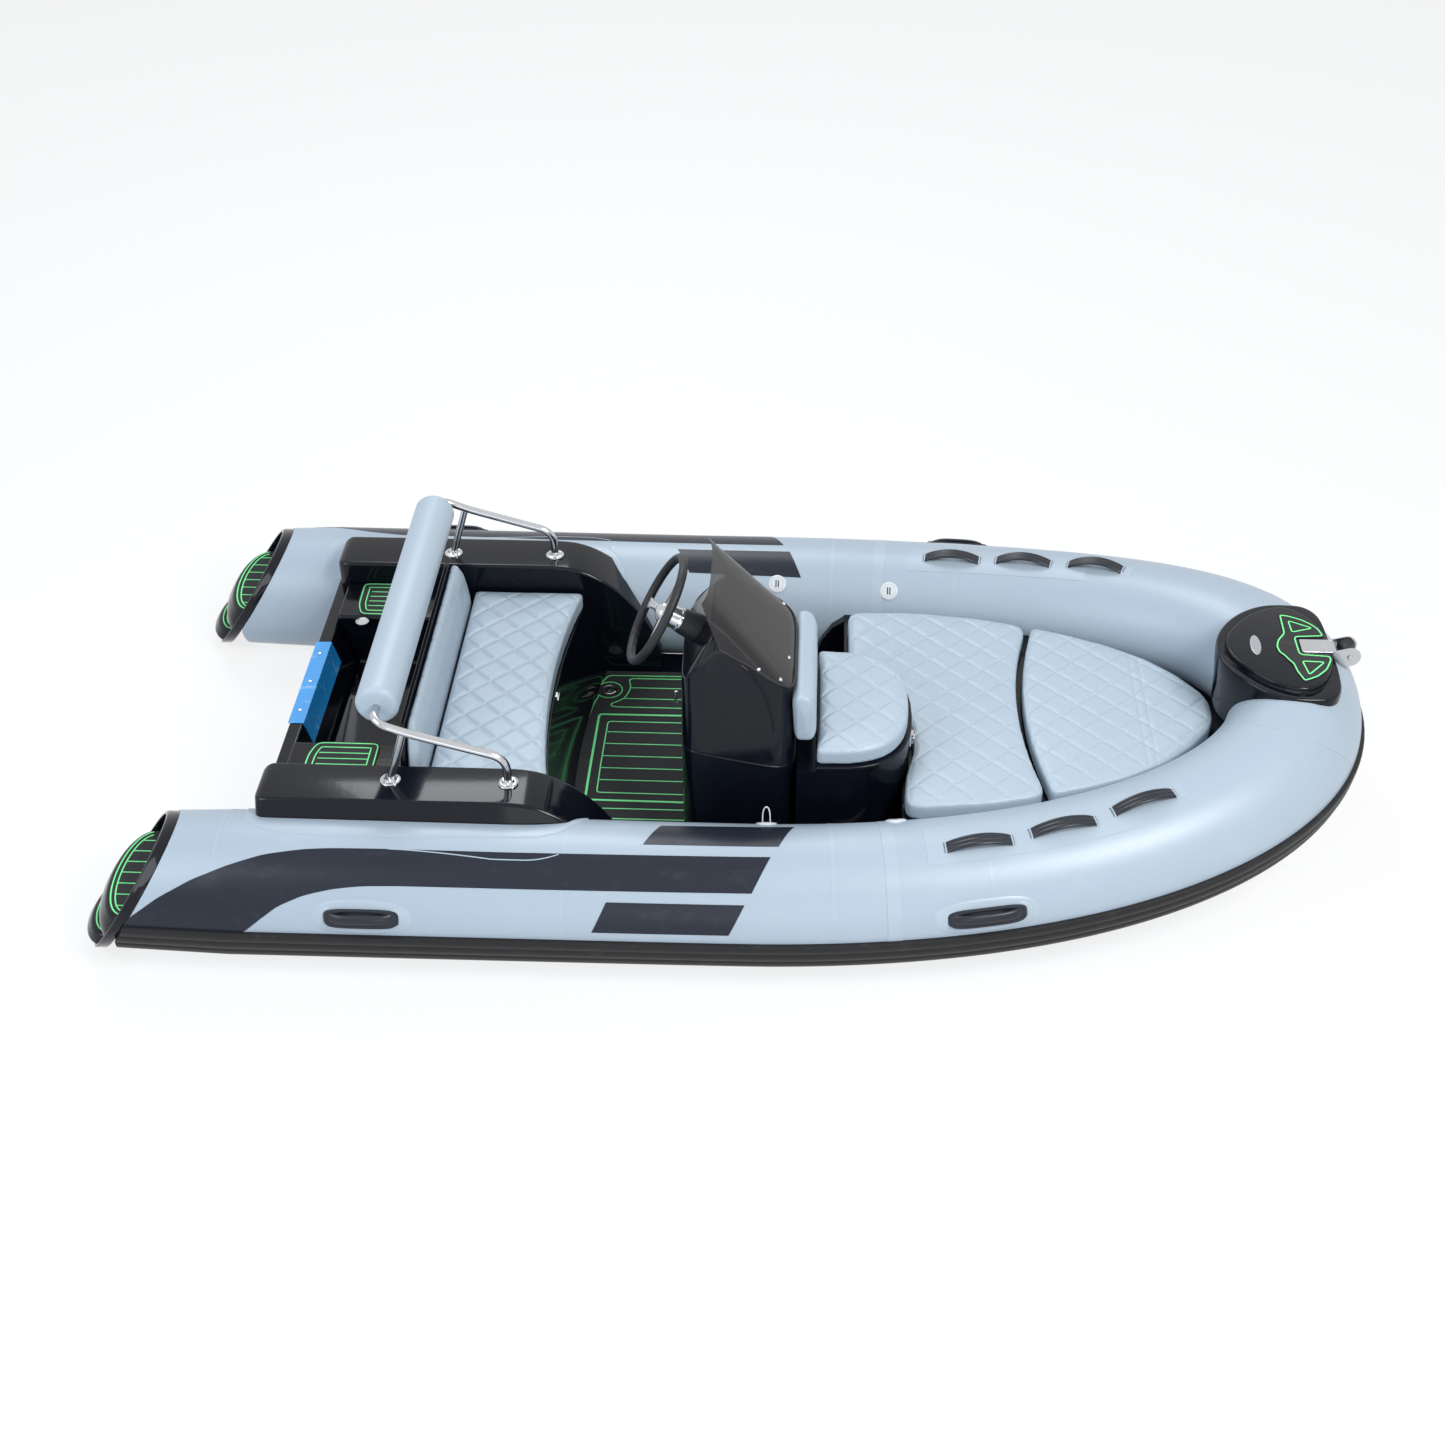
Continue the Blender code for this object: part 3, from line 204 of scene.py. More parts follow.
def turned(profile, centre, axis, sides=32):
    """Pairs of height along the axis and radius, turned about it."""
    axis = np.asarray(axis, float) / np.linalg.norm(axis)
    side = np.cross([0.437, 0.281, 0.854], axis)
    side /= np.linalg.norm(side)
    other = np.cross(axis, side)
    turn = np.linspace(0.0, 2 * math.pi, sides, endpoint=False)
    circle = np.cos(turn)[:, None] * side + np.sin(turn)[:, None] * other
    return loft([np.asarray(centre) + axis * height + circle * radius for height, radius in profile])


def smooth_through(points, count):
    """A closed curve through the points: on each span a cubic whose ends aim at the neighbours."""
    points = np.asarray(points, float)
    at = np.linspace(0.0, len(points), count, endpoint=False)
    k = at.astype(int)
    t = (at - k)[:, None]
    a, b, c, d = (points[(k + shift) % len(points)] for shift in (-1, 0, 1, 2))
    return 0.5 * (2 * b + (c - a) * t + (2 * a - 5 * b + 4 * c - d) * t ** 2 + (3 * b - a - 3 * c + d) * t ** 3)


# %% [markdown]
# ## Finishes
# Each effect that several finishes share is a node group: a cloudy tone that varies a colour slowly, a
# grain that gives a fine height, pale patches of wear that lighten a colour (on the blue film also a
# painted sheen), and diamond quilting stitches. A finish places them with its own numbers, and its shader stays in the
# material.

# %% Node groups
def node_group(name, inputs, outputs):
    """An empty group with named sockets: (name, kind, default)."""
    group = bpy.data.node_groups.new(name, "ShaderNodeTree")
    for title, kind, value in inputs:
        socket = group.interface.new_socket(title, in_out="INPUT", socket_type=kind)
        socket.default_value = value
    for title, kind in outputs:
        group.interface.new_socket(title, in_out="OUTPUT", socket_type=kind)
    return group, group.nodes.new("NodeGroupInput"), group.nodes.new("NodeGroupOutput")


def add_node(tree, kind, values=(), **settings):
    node = tree.nodes.new(kind)
    for key, value in settings.items():
        setattr(node, key, value)
    for key, value in values:
        node.inputs[key].default_value = value
    return node


def make_tone():
    """Colour times one plus a slow noise, so that no two spots are quite alike."""
    tree, given, result = node_group("cloudy_tone", [
        ("Color", "NodeSocketColor", (1, 1, 1, 1)), ("Variation", "NodeSocketFloat", 0.06),
        ("Scale", "NodeSocketFloat", 3.0)], [("Color", "NodeSocketColor"), ("Mask", "NodeSocketFloat")])
    place = add_node(tree, "ShaderNodeTexCoord")
    noise = add_node(tree, "ShaderNodeTexNoise", [("Detail", 6.0), ("Roughness", 0.6)])
    centred = add_node(tree, "ShaderNodeMath", [(1, 0.5)], operation="SUBTRACT")
    amount = add_node(tree, "ShaderNodeMath", operation="MULTIPLY")
    one = add_node(tree, "ShaderNodeMath", [(1, 1.0)], operation="ADD")
    scaled = add_node(tree, "ShaderNodeVectorMath", operation="SCALE")
    tree.links.new(place.outputs["Object"], noise.inputs["Vector"])
    tree.links.new(given.outputs["Scale"], noise.inputs["Scale"])
    tree.links.new(noise.outputs["Fac"], centred.inputs[0])
    tree.links.new(centred.outputs[0], amount.inputs[0])
    tree.links.new(given.outputs["Variation"], amount.inputs[1])
    tree.links.new(amount.outputs[0], one.inputs[0])
    tree.links.new(given.outputs["Color"], scaled.inputs[0])
    tree.links.new(one.outputs[0], scaled.inputs["Scale"])
    tree.links.new(scaled.outputs[0], result.inputs["Color"])
    tree.links.new(noise.outputs["Fac"], result.inputs["Mask"])
    return tree


def make_grain():
    """A fine height: small cells like leather or moulded texture, mixed with finer noise."""
    tree, given, result = node_group("fine_grain", [
        ("Scale", "NodeSocketFloat", 400.0), ("Cells", "NodeSocketFloat", 0.5)], [("Height", "NodeSocketFloat")])
    place = add_node(tree, "ShaderNodeTexCoord")
    cells = add_node(tree, "ShaderNodeTexVoronoi", feature="SMOOTH_F1")
    noise = add_node(tree, "ShaderNodeTexNoise", [("Detail", 3.0)])
    mix = add_node(tree, "ShaderNodeMix", data_type="FLOAT")
    tree.links.new(place.outputs["Object"], cells.inputs["Vector"])
    tree.links.new(place.outputs["Object"], noise.inputs["Vector"])
    tree.links.new(given.outputs["Scale"], cells.inputs["Scale"])
    tree.links.new(given.outputs["Scale"], noise.inputs["Scale"])
    tree.links.new(given.outputs["Cells"], mix.inputs[0])
    tree.links.new(noise.outputs["Fac"], mix.inputs[2])
    tree.links.new(cells.outputs["Distance"], mix.inputs[3])
    tree.links.new(mix.outputs[0], result.inputs["Height"])
    return tree


def make_scuffs_and_sheen():
    """Thin lighter patches where a stretched noise is high: dust and handling marks, and on the blue film, where the
    patches are strong and pale, a painted sheen as well.
    """
    tree, given, result = node_group("scuffs_and_sheen", [
        ("Color", "NodeSocketColor", (1, 1, 1, 1)), ("Scuff And Sheen Color", "NodeSocketColor", (0.5, 0.5, 0.5, 1)),
        ("Amount", "NodeSocketFloat", 0.2), ("Roughness", "NodeSocketFloat", 0.4)],
        [("Color", "NodeSocketColor"), ("Roughness", "NodeSocketFloat")])
    place = add_node(tree, "ShaderNodeTexCoord")
    turn = add_node(tree, "ShaderNodeMapping", [("Scale", (4.0, 9.0, 6.0)), ("Rotation", (0.2, 0.1, 0.5))])
    noise = add_node(tree, "ShaderNodeTexNoise", [("Scale", 3.0), ("Detail", 9.0), ("Roughness", 0.7)])
    ramp = add_node(tree, "ShaderNodeMapRange", [("From Min", 0.55), ("From Max", 0.80)])
    share = add_node(tree, "ShaderNodeMath", operation="MULTIPLY")
    mix = add_node(tree, "ShaderNodeMix", data_type="RGBA")
    rough = add_node(tree, "ShaderNodeMath", [(2, 0.0)], operation="MULTIPLY_ADD")
    tree.links.new(place.outputs["Object"], turn.inputs["Vector"])
    tree.links.new(turn.outputs["Vector"], noise.inputs["Vector"])
    tree.links.new(noise.outputs["Fac"], ramp.inputs["Value"])
    tree.links.new(ramp.outputs["Result"], share.inputs[0])
    tree.links.new(given.outputs["Amount"], share.inputs[1])
    tree.links.new(share.outputs[0], mix.inputs[0])
    tree.links.new(given.outputs["Color"], mix.inputs[6])
    tree.links.new(given.outputs["Scuff And Sheen Color"], mix.inputs[7])
    tree.links.new(share.outputs[0], rough.inputs[0])
    rough.inputs[1].default_value = 0.5
    tree.links.new(given.outputs["Roughness"], rough.inputs[2])
    tree.links.new(mix.outputs[2], result.inputs["Color"])
    tree.links.new(rough.outputs[0], result.inputs["Roughness"])
    return tree


def make_stitches():
    """Diamond quilting seen from above: two families of parallel lines at an angle to X; a thread
    shows along them in dashes, darker in the fold."""
    tree, given, result = node_group("diamond_stitches", [
        ("Color", "NodeSocketColor", (1, 1, 1, 1)), ("Thread", "NodeSocketColor", (0.6, 0.66, 0.7, 1)),
        ("Spacing", "NodeSocketFloat", 0.08), ("Angle", "NodeSocketFloat", 0.7), ("Shift", "NodeSocketVector", (0, 0, 0))],
        [("Color", "NodeSocketColor"), ("Height", "NodeSocketFloat")])
    place = add_node(tree, "ShaderNodeTexCoord")
    shift = add_node(tree, "ShaderNodeVectorMath", operation="SUBTRACT")
    geometry = add_node(tree, "ShaderNodeNewGeometry")
    facing = add_node(tree, "ShaderNodeSeparateXYZ")
    upward = add_node(tree, "ShaderNodeMapRange", [("From Min", 0.55), ("From Max", 0.85)])
    tree.links.new(place.outputs["Object"], shift.inputs[0])
    tree.links.new(given.outputs["Shift"], shift.inputs[1])
    tree.links.new(geometry.outputs["Normal"], facing.inputs[0])
    tree.links.new(facing.outputs["Z"], upward.inputs["Value"])
    lines, dashes = [], []
    for sign in (1.0, -1.0):
        angle = add_node(tree, "ShaderNodeMath", [(1, sign)], operation="MULTIPLY")
        turn = add_node(tree, "ShaderNodeVectorRotate", rotation_type="Z_AXIS")
        parts = add_node(tree, "ShaderNodeSeparateXYZ")
        steps = add_node(tree, "ShaderNodeMath", operation="DIVIDE")
        fold = add_node(tree, "ShaderNodeMath", [(1, 1.0)], operation="PINGPONG")
        near = add_node(tree, "ShaderNodeMapRange", [("From Min", 0.045), ("From Max", 0.012)])
        along = add_node(tree, "ShaderNodeMath", [(1, 0.0032)], operation="PINGPONG")
        dash = add_node(tree, "ShaderNodeMath", [(1, 0.0010)], operation="GREATER_THAN")
        both = add_node(tree, "ShaderNodeMath", operation="MULTIPLY")
        tree.links.new(given.outputs["Angle"], angle.inputs[0])
        tree.links.new(shift.outputs[0], turn.inputs["Vector"])
        tree.links.new(angle.outputs[0], turn.inputs["Angle"])
        tree.links.new(turn.outputs[0], parts.inputs[0])
        tree.links.new(parts.outputs["Y"], steps.inputs[0])
        tree.links.new(given.outputs["Spacing"], steps.inputs[1])
        tree.links.new(steps.outputs[0], fold.inputs[0])
        tree.links.new(fold.outputs[0], near.inputs["Value"])
        tree.links.new(parts.outputs["X"], along.inputs[0])
        tree.links.new(along.outputs[0], dash.inputs[0])
        tree.links.new(near.outputs["Result"], both.inputs[0])
        tree.links.new(dash.outputs[0], both.inputs[1])
        lines.append(near.outputs["Result"])
        dashes.append(both.outputs[0])
    line = add_node(tree, "ShaderNodeMath", operation="MAXIMUM")
    thread = add_node(tree, "ShaderNodeMath", operation="MAXIMUM")
    on_top = add_node(tree, "ShaderNodeMath", operation="MULTIPLY")
    shade = add_node(tree, "ShaderNodeMath", operation="MULTIPLY")
    soft = add_node(tree, "ShaderNodeMath", [(1, 0.55)], operation="MULTIPLY")
    mix = add_node(tree, "ShaderNodeMix", data_type="RGBA")
    for pair, node in ((lines, line), (dashes, thread)):
        tree.links.new(pair[0], node.inputs[0])
        tree.links.new(pair[1], node.inputs[1])
    tree.links.new(line.outputs[0], shade.inputs[0])
    tree.links.new(upward.outputs["Result"], shade.inputs[1])
    tree.links.new(thread.outputs[0], on_top.inputs[0])
    tree.links.new(upward.outputs["Result"], on_top.inputs[1])
    tree.links.new(on_top.outputs[0], soft.inputs[0])
    tree.links.new(soft.outputs[0], mix.inputs[0])
    tree.links.new(given.outputs["Color"], mix.inputs[6])
    tree.links.new(given.outputs["Thread"], mix.inputs[7])
    tree.links.new(mix.outputs[2], result.inputs["Color"])
    tree.links.new(shade.outputs[0], result.inputs["Height"])
    return tree


TONE, GRAIN, SCUFFS_AND_SHEEN, STITCHES = make_tone(), make_grain(), make_scuffs_and_sheen(), make_stitches()
print("node groups:", [g.name for g in (TONE, GRAIN, SCUFFS_AND_SHEEN, STITCHES)])


# %% [markdown]
# One function places the groups in a material: the tone and scuffs feed colour and roughness, the grain
# feeds a Bump. Numbers that are the same all over a surface go on the shader's own sockets.

# %% Finishes
def use_group(tree, group, values):
    node = tree.nodes.new("ShaderNodeGroup")
    node.node_tree = group
    for key, value in values:
        node.inputs[key].default_value = value
    return node


def finish(name, colour, roughness, metallic=0.0, tone=(0.08, 3.0), grain=None, scuff_and_sheen=None, coat=None,
           stitches=None, **sockets):
    """A material: tone is (variation, scale), grain (scale, cells, height in metres), scuff (colour,
    amount), coat (weight, roughness), stitches (spacing, angle, shift, thread colour)."""
    material = bpy.data.materials.new(name)
    material.use_nodes = True
    tree = material.node_tree
    shader = tree.nodes["Principled BSDF"]
    shader.inputs["Metallic"].default_value = metallic
    toned = use_group(tree, TONE, [("Color", (*colour, 1.0)), ("Variation", tone[0]), ("Scale", tone[1])])
    shown, heights = toned.outputs["Color"], []
    if stitches:
        spacing, angle, shift, thread = stitches
        sewn = use_group(tree, STITCHES, [("Spacing", spacing), ("Angle", angle), ("Shift", shift),
                                          ("Thread", (*thread, 1.0))])
        tree.links.new(shown, sewn.inputs["Color"])
        shown = sewn.outputs["Color"]
        heights.append((sewn.outputs["Height"], -0.0008))
    scuff_and_sheen = scuff_and_sheen or ((0.55, 0.55, 0.55), 0.05)
    marked = use_group(tree, SCUFFS_AND_SHEEN, [("Scuff And Sheen Color", (*scuff_and_sheen[0], 1.0)), ("Amount", scuff_and_sheen[1]),
                                      ("Roughness", roughness)])
    tree.links.new(shown, marked.inputs["Color"])
    tree.links.new(marked.outputs["Color"], shader.inputs["Base Color"])
    tree.links.new(marked.outputs["Roughness"], shader.inputs["Roughness"])
    if grain:
        fine = use_group(tree, GRAIN, [("Scale", grain[0]), ("Cells", grain[1])])
        heights.append((fine.outputs["Height"], grain[2]))
    normal = None
    for height, depth in heights:
        bump = add_node(tree, "ShaderNodeBump", [("Distance", abs(depth)), ("Strength", 1.0)], invert=depth < 0)
        tree.links.new(height, bump.inputs["Height"])
        if normal:
            tree.links.new(normal, bump.inputs["Normal"])
        normal = bump.outputs["Normal"]
    if normal:
        tree.links.new(normal, shader.inputs["Normal"])
    if coat:
        shader.inputs["Coat Weight"].default_value = coat[0]
        shader.inputs["Coat Roughness"].default_value = coat[1]
    for key, value in sockets.items():
        shader.inputs[key.replace("_", " ")].default_value = value
    return material


PALE, SLATE = (0.350, 0.425, 0.500), (0.012, 0.016, 0.027)
VINYL = (0.385, 0.470, 0.545)
collar_pvc = finish("collar_pvc", PALE, 0.36, tone=(0.10, 1.6), grain=(1400.0, 0.3, 0.00012),
                    scuff_and_sheen=((0.58, 0.61, 0.63), 0.10))
seam_pvc = finish("seam_tape", (0.370, 0.445, 0.520), 0.32, tone=(0.08, 4.0), grain=(1400.0, 0.3, 0.00010))
decal_pvc = finish("slate_decal", SLATE, 0.30, tone=(0.35, 1.4), grain=(1400.0, 0.3, 0.00008),
                   scuff_and_sheen=((0.14, 0.16, 0.20), 0.12), Specular_IOR_Level=0.28)
rub_rubber = finish("ribbed_rubber", (0.009, 0.009, 0.010), 0.42, tone=(0.30, 6.0), grain=(900.0, 0.2, 0.00010),
                    scuff_and_sheen=((0.12, 0.12, 0.12), 0.20), Specular_IOR_Level=0.30)
gelcoat = finish("black_gelcoat", (0.0030, 0.0040, 0.0080), 0.12, tone=(0.30, 2.2), grain=(70.0, 0.0, 0.00012),
                 scuff_and_sheen=((0.05, 0.055, 0.07), 0.08), coat=(0.12, 0.04), Specular_IOR_Level=0.22)
hull_gelcoat = finish("hull_gelcoat_black", (0.006, 0.007, 0.009), 0.24, tone=(0.25, 1.5),
                      grain=(60.0, 0.0, 0.00015), scuff_and_sheen=((0.10, 0.10, 0.11), 0.18), coat=(0.15, 0.08),
                      Specular_IOR_Level=0.30)
foam_deck = finish("foam_decking", (0.034, 0.035, 0.037), 0.88, tone=(0.22, 9.0), grain=(1100.0, 0.6, 0.00030),
                   scuff_and_sheen=((0.16, 0.16, 0.15), 0.16), Specular_IOR_Level=0.25)
green_line = finish("green_line", (0.20, 0.94, 0.32), 0.60, tone=(0.22, 14.0), grain=(1100.0, 0.6, 0.00012),
                    scuff_and_sheen=((0.36, 0.72, 0.40), 0.20))
vinyl_plain = finish("cushion_vinyl", VINYL, 0.40, tone=(0.07, 3.5), grain=(650.0, 0.75, 0.00022),
                     scuff_and_sheen=((0.60, 0.66, 0.70), 0.10))
stainless = finish("stainless_steel", (0.54, 0.55, 0.57), 0.15, 1.0, tone=(0.10, 12.0),
                   grain=(260.0, 0.0, 0.00003), scuff_and_sheen=((0.42, 0.41, 0.40), 0.12))
rim_foam = finish("rim_foam", (0.014, 0.015, 0.018), 0.48, tone=(0.25, 9.0), grain=(700.0, 0.7, 0.00025),
                  scuff_and_sheen=((0.10, 0.10, 0.10), 0.2), Specular_IOR_Level=0.35)
# The blue film's pale patches are strong. Besides handling marks, they are a painted sheen that lightens the whole film
# and stands in for the light on its top lip.
blue_film = finish("blue_film", (0.020, 0.330, 0.800), 0.22, tone=(0.35, 7.0), grain=(38.0, 0.0, 0.00050),
                   scuff_and_sheen=((0.62, 0.80, 0.93), 0.75), coat=(0.5, 0.12))
black_rubber = finish("handle_rubber", (0.010, 0.013, 0.020), 0.34, tone=(0.30, 9.0), grain=(800.0, 0.4, 0.00018),
                      scuff_and_sheen=((0.10, 0.11, 0.13), 0.22), Specular_IOR_Level=0.40)
white_plastic = finish("valve_plastic", (0.62, 0.65, 0.68), 0.35, tone=(0.10, 9.0), grain=(700.0, 0.3, 0.00008),
                       scuff_and_sheen=((0.40, 0.42, 0.44), 0.15))
steel_plain = finish("brushed_plate", (0.46, 0.48, 0.51), 0.24, 1.0, tone=(0.14, 20.0),
                     grain=(300.0, 0.0, 0.00005), scuff_and_sheen=((0.36, 0.36, 0.36), 0.2))
smoked = finish("smoked_acrylic", (0.020, 0.019, 0.021), 0.045, tone=(0.20, 5.0), scuff_and_sheen=((0.10, 0.10, 0.10), 0.10),
                Alpha=0.66)


def quilted(name, spacing, angle, shift):
    return finish(name, VINYL, 0.40, tone=(0.07, 3.5), grain=(650.0, 0.75, 0.00022),
                  scuff_and_sheen=((0.60, 0.66, 0.70), 0.10), stitches=(spacing, angle, shift, (0.62, 0.70, 0.76)))


print("finishes:", len(bpy.data.materials))

# %% [markdown]
# ## Camera, light and floor
# The camera stands where the photograph's did, above the starboard side. The lamps are large and soft,
# and the pale floor lies at the waterline; camera, mirror and glass rays see it and the sky near white.

# %% Camera
EYE = np.array([1.60565, -4.96579, 4.15948])
AZIMUTH, ELEVATION, ROLL = np.radians([3.0533, 38.2869, -0.5407])
FOCAL_PIXELS, FRAME_PIXELS = 1973.065, 1445
ahead = np.array([-math.sin(AZIMUTH) * math.cos(ELEVATION), math.cos(AZIMUTH) * math.cos(ELEVATION),
                  -math.sin(ELEVATION)])
level = np.array([math.cos(AZIMUTH), math.sin(AZIMUTH), 0.0])
over = np.cross(level, ahead)
right_way = math.cos(ROLL) * level + math.sin(ROLL) * over
up_way = -math.sin(ROLL) * level + math.cos(ROLL) * over
lens = bpy.data.cameras.new("camera")
lens.sensor_fit = "HORIZONTAL"
lens.sensor_width = 36.0
lens.lens = 36.0 * FOCAL_PIXELS / FRAME_PIXELS
lens.clip_end = 100.0
camera = bpy.data.objects.new("camera", lens)
camera.matrix_world = Matrix([[right_way[k], up_way[k], -ahead[k], EYE[k]] for k in range(3)] + [[0, 0, 0, 1]])
bpy.context.scene.collection.objects.link(camera)
bpy.context.scene.camera = camera
print("lens %.2f mm" % lens.lens)


# %% Floor, sky and lamps
def seen_white(material, share):
    """Camera, mirror and glass rays see a share of plain white over the shader; others see the shader."""
    tree = material.node_tree
    path = tree.nodes.new("ShaderNodeLightPath")
    most = add_node(tree, "ShaderNodeMath", operation="MAXIMUM")
    any_of = add_node(tree, "ShaderNodeMath", operation="MAXIMUM")
    amount = add_node(tree, "ShaderNodeMath", [(1, share)], operation="MULTIPLY")
    tree.links.new(path.outputs["Is Camera Ray"], most.inputs[0])
    tree.links.new(path.outputs["Is Glossy Ray"], most.inputs[1])
    tree.links.new(most.outputs[0], any_of.inputs[0])
    tree.links.new(path.outputs["Is Transmission Ray"], any_of.inputs[1])
    tree.links.new(any_of.outputs[0], amount.inputs[0])
    return tree, amount.outputs[0]


floor_material = bpy.data.materials.new("pale_floor")
floor_material.use_nodes = True
tree, amount = seen_white(floor_material, 0.80)
diffuse = tree.nodes["Principled BSDF"]
diffuse.inputs["Base Color"].default_value = (0.86, 0.87, 0.88, 1.0)
diffuse.inputs["Roughness"].default_value = 0.9
glow = add_node(tree, "ShaderNodeEmission", [("Color", (1.0, 1.0, 1.0, 1.0)), ("Strength", 1.0)])
blend = tree.nodes.new("ShaderNodeMixShader")
tree.links.new(amount, blend.inputs[0])
tree.links.new(diffuse.outputs[0], blend.inputs[1])
tree.links.new(glow.outputs[0], blend.inputs[2])
tree.links.new(blend.outputs[0], tree.nodes["Material Output"].inputs["Surface"])
floor_size = 30.0
floor_data = bpy.data.meshes.new("floor")
floor_data.from_pydata([(-floor_size, -floor_size, 0), (floor_size, -floor_size, 0),
                        (floor_size, floor_size, 0), (-floor_size, floor_size, 0)], [], [(0, 1, 2, 3)])
floor_data.materials.append(floor_material)
floor = bpy.data.objects.new("floor", floor_data)
bpy.context.scene.collection.objects.link(floor)

world = bpy.data.worlds.new("sky")
bpy.context.scene.world = world
world.use_nodes = True
sky_tree, sky_amount = seen_white(world, 1.0)
dim = sky_tree.nodes["Background"]
dim.inputs["Color"].default_value = (0.86, 0.92, 1.0, 1.0)
dim.inputs["Strength"].default_value = 0.50
bright = add_node(sky_tree, "ShaderNodeBackground", [("Color", (1.0, 1.0, 1.0, 1.0)), ("Strength", 1.0)])
sky_mix = sky_tree.nodes.new("ShaderNodeMixShader")
sky_tree.links.new(sky_amount, sky_mix.inputs[0])
sky_tree.links.new(dim.outputs[0], sky_mix.inputs[1])
sky_tree.links.new(bright.outputs[0], sky_mix.inputs[2])
sky_tree.links.new(sky_mix.outputs[0], sky_tree.nodes["World Output"].inputs["Surface"])


def lamp(name, place, aim, size, power, colour):
    """A soft square lamp at a place, facing the point it aims at."""
    data = bpy.data.lights.new(name, "AREA")
    data.energy, data.size, data.color = power, size, colour
    thing = bpy.data.objects.new(name, data)
    thing.location = place
    thing.rotation_euler = (Vector(aim) - Vector(place)).to_track_quat("-Z", "Y").to_euler()
    bpy.context.scene.collection.objects.link(thing)


lamp("key", (4.6, -3.2, 5.2), (1.5, 0.0, 0.3), 2.2, 300.0, (1.0, 0.98, 0.95))
lamp("fill", (-3.2, -3.0, 3.8), (1.2, 0.0, 0.3), 3.5, 150.0, (0.90, 0.95, 1.0))
lamp("back", (0.2, 3.9, 5.4), (1.4, 0.0, 0.3), 2.6, 140.0, (0.94, 0.97, 1.0))
lamp("low", (1.6, -5.6, 1.0), (1.6, -0.9, 0.2), 3.0, 30.0, (0.94, 0.97, 1.0))
bpy.context.scene.view_settings.view_transform = "Standard"

# %% [markdown]
# ## The collar's line
# The collar is an air tube that runs from the port stern round the bow to the starboard stern. Its
# centre line is straight aft and a cubic curve forward, rising to the bow. Any point on its skin is
# found from two numbers: the distance along the line and the angle round it, where 0 faces outboard
# and 90 faces up. Decals, tapes, grips and valves are all placed with those two numbers.

# %% Collar line and skin
TUBE_R, BOW_R, TAPER_FROM, TAPER_LENGTH = 0.214, 0.201, -0.30, 3.20
TUBE_Y, TUBE_Z, CURVE_X, BOW_X = 0.766, 0.200, 1.457, 3.122
STERN_PULL, BOW_PULL = 0.252, 0.741
SHEER_X, SHEER_RISE, SHEER_POWER = 0.85, 0.173, 3.4
STERN_X, STERN_R, CAP_X, CAP_SLOPE, CAP_BAND = -0.050, 0.203, -0.374, 0.66, 0.038


def tube_radius(x):
    """Narrowing evenly to the bow; aft of the transom narrowing to the cap instead."""
    body = TUBE_R + (BOW_R - TUBE_R) * np.minimum((x - TAPER_FROM) / TAPER_LENGTH, 1.0)
    at_stern = TUBE_R + (BOW_R - TUBE_R) * (STERN_X - TAPER_FROM) / TAPER_LENGTH
    return np.where(x >= STERN_X, body, at_stern + (STERN_R - TUBE_R) * (STERN_X - x) / (STERN_X - CAP_X))


def collar_table():
    """Distance, place, outboard and upward directions along the port half, in short steps."""
    t = np.linspace(0.0, 1.0, 1500)[:, None]
    ends = [np.array(p) for p in ((CURVE_X, TUBE_Y), (CURVE_X + STERN_PULL, TUBE_Y), (BOW_X, BOW_PULL), (BOW_X, 0.0))]
    curve = (ends[0] * (1 - t) ** 3 + ends[1] * 3 * t * (1 - t) ** 2 + ends[2] * 3 * t ** 2 * (1 - t) + ends[3] * t ** 3)
    straight = np.column_stack([np.linspace(CAP_X, CURVE_X, 900, endpoint=False), np.full(900, TUBE_Y)])
    flat = np.vstack([straight, curve])
    rise = SHEER_RISE * np.maximum(0.0, (flat[:, 0] - SHEER_X) / (BOW_X - SHEER_X)) ** SHEER_POWER
    line = np.column_stack([flat, TUBE_Z + rise])
    distance = np.concatenate([[0.0], np.cumsum(np.linalg.norm(np.diff(line, axis=0), axis=1))])
    tangent = np.gradient(line, distance, axis=0)
    tangent /= np.linalg.norm(tangent, axis=1)[:, None]
    out = np.cross([0.0, 0.0, 1.0], tangent)
    out /= np.linalg.norm(out, axis=1)[:, None]
    return distance, line, out, np.cross(tangent, out)


DISTANCE, LINE, OUT, UP = collar_table()
HALF_LENGTH = DISTANCE[-1]
SPLIT = 2.2323


def skin(along, angle, lift=0.0, side=1):
    """Centre plus (radius + lift) times (cos angle outboard + sin angle up), mirrored to starboard.
    A distance past the bow's middle goes on down the other side."""
    along, angle, lift = np.broadcast_arrays(np.asarray(along, float), np.asarray(angle, float), lift)
    near = np.minimum(along, 2 * HALF_LENGTH - along)
    centre, out, up = (np.stack([np.interp(near, DISTANCE, table[:, k]) for k in range(3)], axis=-1)
                       for table in (LINE, OUT, UP))
    turn = np.radians(angle)[..., None]
    reach = (tube_radius(centre[..., 0]) + lift)[..., None]
    point = centre + reach * (np.cos(turn) * out + np.sin(turn) * up)
    point[..., 1] *= np.where(along > HALF_LENGTH, -1.0, 1.0) * side
    return point


def distance_at(x):
    return float(np.interp(x, LINE[:, 0], DISTANCE))


def degrees_wide(width):
    return math.degrees(width / TUBE_R)


def stern_start(angle, ahead_of_cap):
    """The distance at which the raked cap plane meets the skin at an angle."""
    reach = STERN_R * np.sin(np.radians(angle))
    return ahead_of_cap + CAP_SLOPE * reach


print("collar half length %.3f m" % HALF_LENGTH)


# %% [markdown]
# ## Air chambers
# Three chambers of coated fabric make the collar, glued at two joints under a strip of tape. Each is a
# grid of distance against angle. The real fabric is pulled a little tight between the tapes and swells by
# a millimetre or two between them; the grid leaves that swell out.

